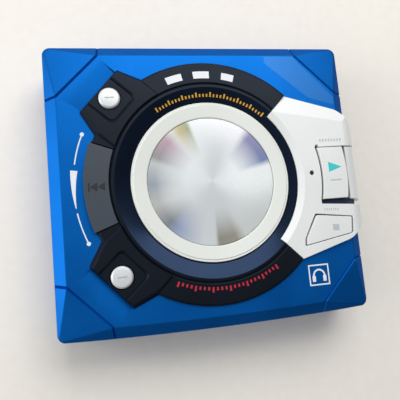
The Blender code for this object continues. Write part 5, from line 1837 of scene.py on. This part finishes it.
@dataclass
class Prints:
    """Plain printed marks: scales, arrows and pictograms, laid thinly on the surfaces.

    Places and sizes are in mm in plan, and angles in degrees about the bezel's axis. A row of ticks
    has its first place, its step, the ticks' size and their count.
    """

    bezel: Bezel
    panel: KeyPanel
    skip: SkipKey
    thick: float = 0.03
    block_radius: float = 27.9
    block_height: float = 1.9
    blocks: tuple[Point, ...] = ((106.0, 4.4), (91.0, 4.4), (76.5, 3.4))
    dish_scale: TickScale = TickScale(22.75, 124, 48, 33, 0.42, 1.15)
    bezel_scale: TickScale = TickScale(27.3, -114, -58, 25, 0.5, 1.3)
    volume_radius: float = 34.2
    volume_line: float = 0.3
    volume_arcs: tuple[Point, ...] = ((157.86, 170.0), (190.0, 202.14))
    dot_angles: Point = (157.0, 203.0)
    dot_radius: float = 0.5
    dot_points: int = 24
    ramp_turn: Point = (188.0, 172.5)
    ramp_widths: Point = (0.2, 1.7)
    arrow_tips: Point = (-31.4, -29.4)
    arrow_length: float = 1.9
    arrow_half: float = 1.1
    arrow_bar: Point = (-31.9, -31.5)
    skip_squeeze: float = 0.9
    skip_shift: float = -2.1
    play_arrow: tuple[Point, ...] = ((32.0, 3.1), (32.0, 0.3), (35.8, 1.6))
    play_rule_x: Point = (32.2, 35.4)
    play_rule_y: Point = (-1.7, -2.1)
    button_rule: tuple[Point, ...] = ((-1.1, 0.1), (1.1, 0.2), (1.1, -0.05), (-1.1, -0.15))
    button_rule_sink: float = 0.018
    stop_square: tuple[Point, ...] = ((31.2, -13.6), (33.0, -13.8), (32.9, -15.4), (31.1, -15.2))
    label: tuple[Point, ...] = (
        (17.75, 33.3), (17.75, 31.4), (29.3, 21.5), (36.6, 19.4), (36.8, 21.6), (25.9, 33.3),
    )
    tick_rows: tuple[tuple[Point, Point, Point, int], ...] = (
        ((29.6, -9.55), (0.62, -0.03), (0.3, 0.62), 7),
        ((30.6, 9.1), (0.85, 0.0), (0.42, 0.75), 8),
    )
    sign_x: Point = (23.4, 29.1)
    sign_y: Point = (-29.1, -23.7)
    sign_line: float = 0.35
    sign_gap: float = 0.02
    sign_drop: float = 0.2
    sign_bow: Point = (1.75, 1.3)
    sign_steps: int = 20
    sign_cup_reach: float = 1.5
    sign_cup: Point = (0.45, 1.5)

    def on_face(self, radius: float) -> float:
        """Height of the lid's top."""
        return self.panel.cover.face

    def laid(
        self,
        shop: Workshop,
        name: str,
        shapes: Sequence[Sequence[Point]],
        height: Callable[[float], float],
        finish: Finish,
        body: Body = Body.LID,
    ) -> None:
        """Lays shapes on a surface as one thin piece of ink.

        Args:
            shop: The workshop.
            name: The piece's name.
            shapes: Outlines in plan, in mm.
            height: The surface's height at a radius from the bezel's axis.
            finish: The ink.
            body: The body that carries it.
        """
        bm = bmesh.new()
        for shape in shapes:
            places = [(x, y, height(math.hypot(x, y)) + self.thick / 2) for x, y in shape]
            bm.faces.new([bm.verts.new(place) for place in places])
        bmesh.ops.recalc_face_normals(bm, faces=bm.faces)
        grown = bmesh.ops.extrude_face_region(bm, geom=bm.faces[:])
        low = [item for item in grown["geom"] if isinstance(item, bmesh.types.BMVert)]
        bmesh.ops.translate(bm, vec=(0, 0, -self.thick), verts=low)
        bmesh.ops.recalc_face_normals(bm, faces=bm.faces)
        shop.piece(name, bm, finish, body)

    def build(self, shop: Workshop) -> None:
        """Lays every mark.

        Args:
            shop: The workshop.
        """
        self.bezel_marks(shop)
        self.volume_marks(shop)
        self.skip_marks(shop)
        self.key_marks(shop)
        self.panel_marks(shop)
        self.corner_marks(shop)

    def bezel_marks(self, shop: Workshop) -> None:
        """Lays white blocks, a yellow scale in the dish and a red scale at the front.

        Args:
            shop: The workshop.
        """
        widths = (self.block_height, self.block_height)
        blocks = [stroke(self.block_radius, (at - half, at + half), widths) for at, half in self.blocks]
        for name, shapes, height, ink in (
            ("bezel_blocks", blocks, self.bezel.flat_height, WHITE_INK),
            ("dish_scale", self.dish_scale.ticks(), self.bezel.cone_height, YELLOW_INK),
            ("bezel_scale", self.bezel_scale.ticks(), self.bezel.flat_height, RED_INK),
        ):
            self.laid(shop, name, shapes, height, ink)

    def volume_marks(self, shop: Workshop) -> None:
        """Lays two arcs with dots beside the skip key, and a ramp between them.

        Args:
            shop: The workshop.
        """
        radius, line = self.volume_radius, (self.volume_line, self.volume_line)
        shapes = [stroke(radius, turn, line) for turn in self.volume_arcs]
        steps = self.dot_points - 1
        for angle in self.dot_angles:
            turn = math.radians(angle)
            centre = (radius * math.cos(turn), radius * math.sin(turn))
            shapes.append(arc(self.dot_radius, 0, 360 * steps / self.dot_points, steps, centre))
        shapes.append(stroke(radius, self.ramp_turn, self.ramp_widths))
        self.laid(shop, "volume_scale", shapes, self.on_face, WHITE_INK)

    def skip_marks(self, shop: Workshop) -> None:
        """Lays two arrows and a bar on the skip key.

        Args:
            shop: The workshop.
        """
        half = self.arrow_half
        glyph: list[Sequence[Point]] = []
        for tip in self.arrow_tips:
            glyph.append(((tip, 0.0), (tip + self.arrow_length, half), (tip + self.arrow_length, -half)))
        glyph.append(rectangle(self.arrow_bar, (half, -half)))
        squeezed = [[(x * self.skip_squeeze + self.skip_shift, y) for x, y in shape] for shape in glyph]
        self.laid(shop, "skip_mark", squeezed, lambda radius: self.skip.top, DARK_INK, Body.SKIP)

    def key_marks(self, shop: Workshop) -> None:
        """Lays an arrow and a rule on the play key, rules on the buttons and a square on the stop key.

        Args:
            shop: The workshop.
        """
        rule = rectangle(self.play_rule_x, self.play_rule_y)
        for name, shape, ink in (
            ("play_mark", self.play_arrow, TURQUOISE_INK),
            ("play_rule", rule, PALE_INK),
        ):
            self.laid(shop, name, [shape], lambda radius: self.panel.play_top, ink, Body.PLAY)
        level = self.bezel.button_top - self.button_rule_sink
        for name, hand, body in (("volume_up", 1, Body.VOLUME_UP), ("volume_down", -1, Body.VOLUME_DOWN)):
            x, y = self.bezel.button_place(hand)
            line = [(x + across, y + along) for across, along in self.button_rule]
            self.laid(shop, f"{name}_rule", [line], lambda radius: level, GREY_INK, body)
        stop_top = self.panel.stop_top
        self.laid(shop, "stop_mark", [self.stop_square], lambda radius: stop_top, PALE_INK, Body.STOP)

    def panel_marks(self, shop: Workshop) -> None:
        """Lays the rows of small ticks on the panel.

        Args:
            shop: The workshop.
        """
        ticks = []
        for (x, y), (step_x, step_y), size, count in self.tick_rows:
            ticks += [tick(x + step_x * i, y + step_y * i, *size) for i in range(count)]
        self.laid(shop, "panel_ticks", ticks, lambda radius: self.panel.top, PALE_INK)

    def corner_marks(self, shop: Workshop) -> None:
        """Lays a bare label at the rear right, and a headphone pictogram at the front right.

        Args:
            shop: The workshop.
        """
        self.laid(shop, "corner_label", [self.label], self.on_face, LABEL_BLUE)
        (left, right), (low, high), line = self.sign_x, self.sign_y, self.sign_line
        shapes = [rectangle(self.sign_x, ends) for ends in ((high, high - line), (low + line, low))]
        tall = high - low - 2 * line - self.sign_gap
        for x in (left + line / 2, right - line / 2):
            shapes.append(tick(x, (low + high) / 2, line, tall))
        x, y = (left + right) / 2, (low + high) / 2 - self.sign_drop
        outer, inner = self.sign_bow
        steps = self.sign_steps
        shapes.append(arc(outer, 0, 180, steps, (x, y)) + arc(inner, 180, 0, steps, (x, y)))
        half, tall = self.sign_cup
        for side in (-1, 1):
            cup = x + side * self.sign_cup_reach
            shapes.append(rectangle((cup - half, cup + half), (y, y - tall)))
        self.laid(shop, "headphone_sign", shapes, self.on_face, WHITE_INK)


@dataclass(frozen=True)
class SoftLamp:
    """A soft rectangular lamp: place and size in mm, power in watts."""

    name: str
    place: tuple[float, float, float]
    size: Point
    power: float
    colour: str = "#ffffff"

    def hang(self, aim: Vector) -> None:
        """Adds the lamp to the scene.

        Args:
            aim: The point that it faces, in mm.
        """
        data = bpy.data.lights.new(self.name, "AREA")
        data.shape = "RECTANGLE"
        data.size, data.size_y = self.size[0] * MM, self.size[1] * MM
        data.energy = self.power
        data.color = srgb(self.colour)[:3]
        made = bpy.data.objects.new(self.name, data)
        made.location = Vector(self.place) * MM
        made.rotation_euler = (aim - Vector(self.place)).to_track_quat("-Z", "Y").to_euler()
        bpy.context.scene.collection.objects.link(made)


@dataclass
class Studio:
    """Floor, lamps, world and camera."""

    eye: tuple[float, float, float] = (-28.52, -18.18, 129.55)
    aim: tuple[float, float, float] = (-3.60, -4.69, 17.0)
    side: tuple[float, float, float] = (0.97443, -0.09298, 0.20455)
    lens: float = 41.36
    sensor: float = 36.0
    clip: float = 5.0
    floor_half: float = 1500.0
    window: SoftLamp = SoftLamp("window", (-300, 20, 130), (220, 180), 0.35)
    ceiling: SoftLamp = SoftLamp("panel", (70, 250, 331), (360, 260), 1.03)
    lamp_aim: tuple[float, float, float] = (0.0, 0.0, 10.0)
    surround: str = "#eef1f6"
    bright_side: tuple[float, float, float] = (-0.78, 0.58, 0.2)
    bright_range: Point = (-0.8, 0.9)
    bright: float = 0.75
    dim: float = 0.1

    def build(self) -> None:
        """Sets the stage: a broad lamp above and behind, and a window on the left."""
        self.floor()
        for lamp in (self.window, self.ceiling):
            lamp.hang(Vector(self.lamp_aim))
        self.world()
        self.camera()
        bpy.context.scene.view_settings.view_transform = "Standard"

    def floor(self) -> None:
        """A plain pale floor under the object."""
        bm = bmesh.new()
        bmesh.ops.create_grid(bm, x_segments=1, y_segments=1, size=self.floor_half * MM)
        mesh = bpy.data.meshes.new("floor")
        bm.to_mesh(mesh)
        bm.free()
        mesh.materials.append(PALE_FLOOR.material())
        made = bpy.data.objects.new("floor", mesh)
        bpy.context.scene.collection.objects.link(made)

    def world(self) -> None:
        """A pale surrounding that fades from the window's side to the other."""
        world = bpy.data.worlds.new("studio")
        bpy.context.scene.world = world
        world.use_nodes = True
        tree = world.node_tree
        background = tree.nodes["Background"]
        background.inputs["Color"].default_value = srgb(self.surround)
        way = add_node(tree, "ShaderNodeTexCoord").outputs["Generated"]
        sides = {0: way, 1: self.bright_side}
        toward = add_node(tree, "ShaderNodeVectorMath", sides, operation="DOT_PRODUCT")
        least, most = self.bright_range
        settings = {"Value": toward.outputs["Value"], "From Min": least, "From Max": most}
        settings |= {"To Min": self.dim, "To Max": self.bright}
        fade = add_node(tree, "ShaderNodeMapRange", settings, interpolation_type="SMOOTHSTEP")
        tree.links.new(fade.outputs["Result"], background.inputs["Strength"])

    def camera(self) -> None:
        """The photograph's camera, from its solved place and direction."""
        data = bpy.data.cameras.new("camera")
        data.lens = self.lens
        data.sensor_width = self.sensor
        data.clip_start = self.clip * MM
        made = bpy.data.objects.new("camera", data)
        back = (Vector(self.eye) - Vector(self.aim)).normalized()
        up = back.cross(Vector(self.side)).normalized()
        right = up.cross(back)
        turn = Matrix((right, up, back)).transposed()
        made.matrix_world = Matrix.Translation(Vector(self.eye) * MM) @ turn.to_4x4()
        bpy.context.scene.collection.objects.link(made)
        bpy.context.scene.camera = made


def dress_frame(nodes: dict[str, bpy.types.Object]) -> None:
    """Gives the frame's own pieces their finishes.

    Args:
        nodes: The frame's nodes by name.
    """
    for finish, names in FRAME_FINISHES:
        for name in names:
            mesh = nodes[name].data
            mesh.materials.clear()
            mesh.materials.append(finish.material())
            LOG.info("%s: %s", name, finish.name)


def main() -> None:
    """Loads the frame, builds the pieces in order and sets the stage."""
    logging.basicConfig(level=logging.INFO, format="%(name)s %(message)s")
    for item in list(bpy.data.objects):
        bpy.data.objects.remove(item, do_unlink=True)
    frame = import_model()
    shop = Workshop(frame["nodes"])
    dress_frame(frame["nodes"])
    cover = TopCover()
    bezel = Bezel()
    skip = SkipKey()
    panel = KeyPanel(cover, bezel)
    sheet = PaintedShadeSheet(cover, bezel, skip, panel)
    prints = Prints(bezel, panel, skip)
    for assembly in (cover, LowerCase(), bezel, CentrePlates(), skip, panel, sheet, prints):
        assembly.build(shop)
    Studio().build()


if __name__ == "__main__":
    main()
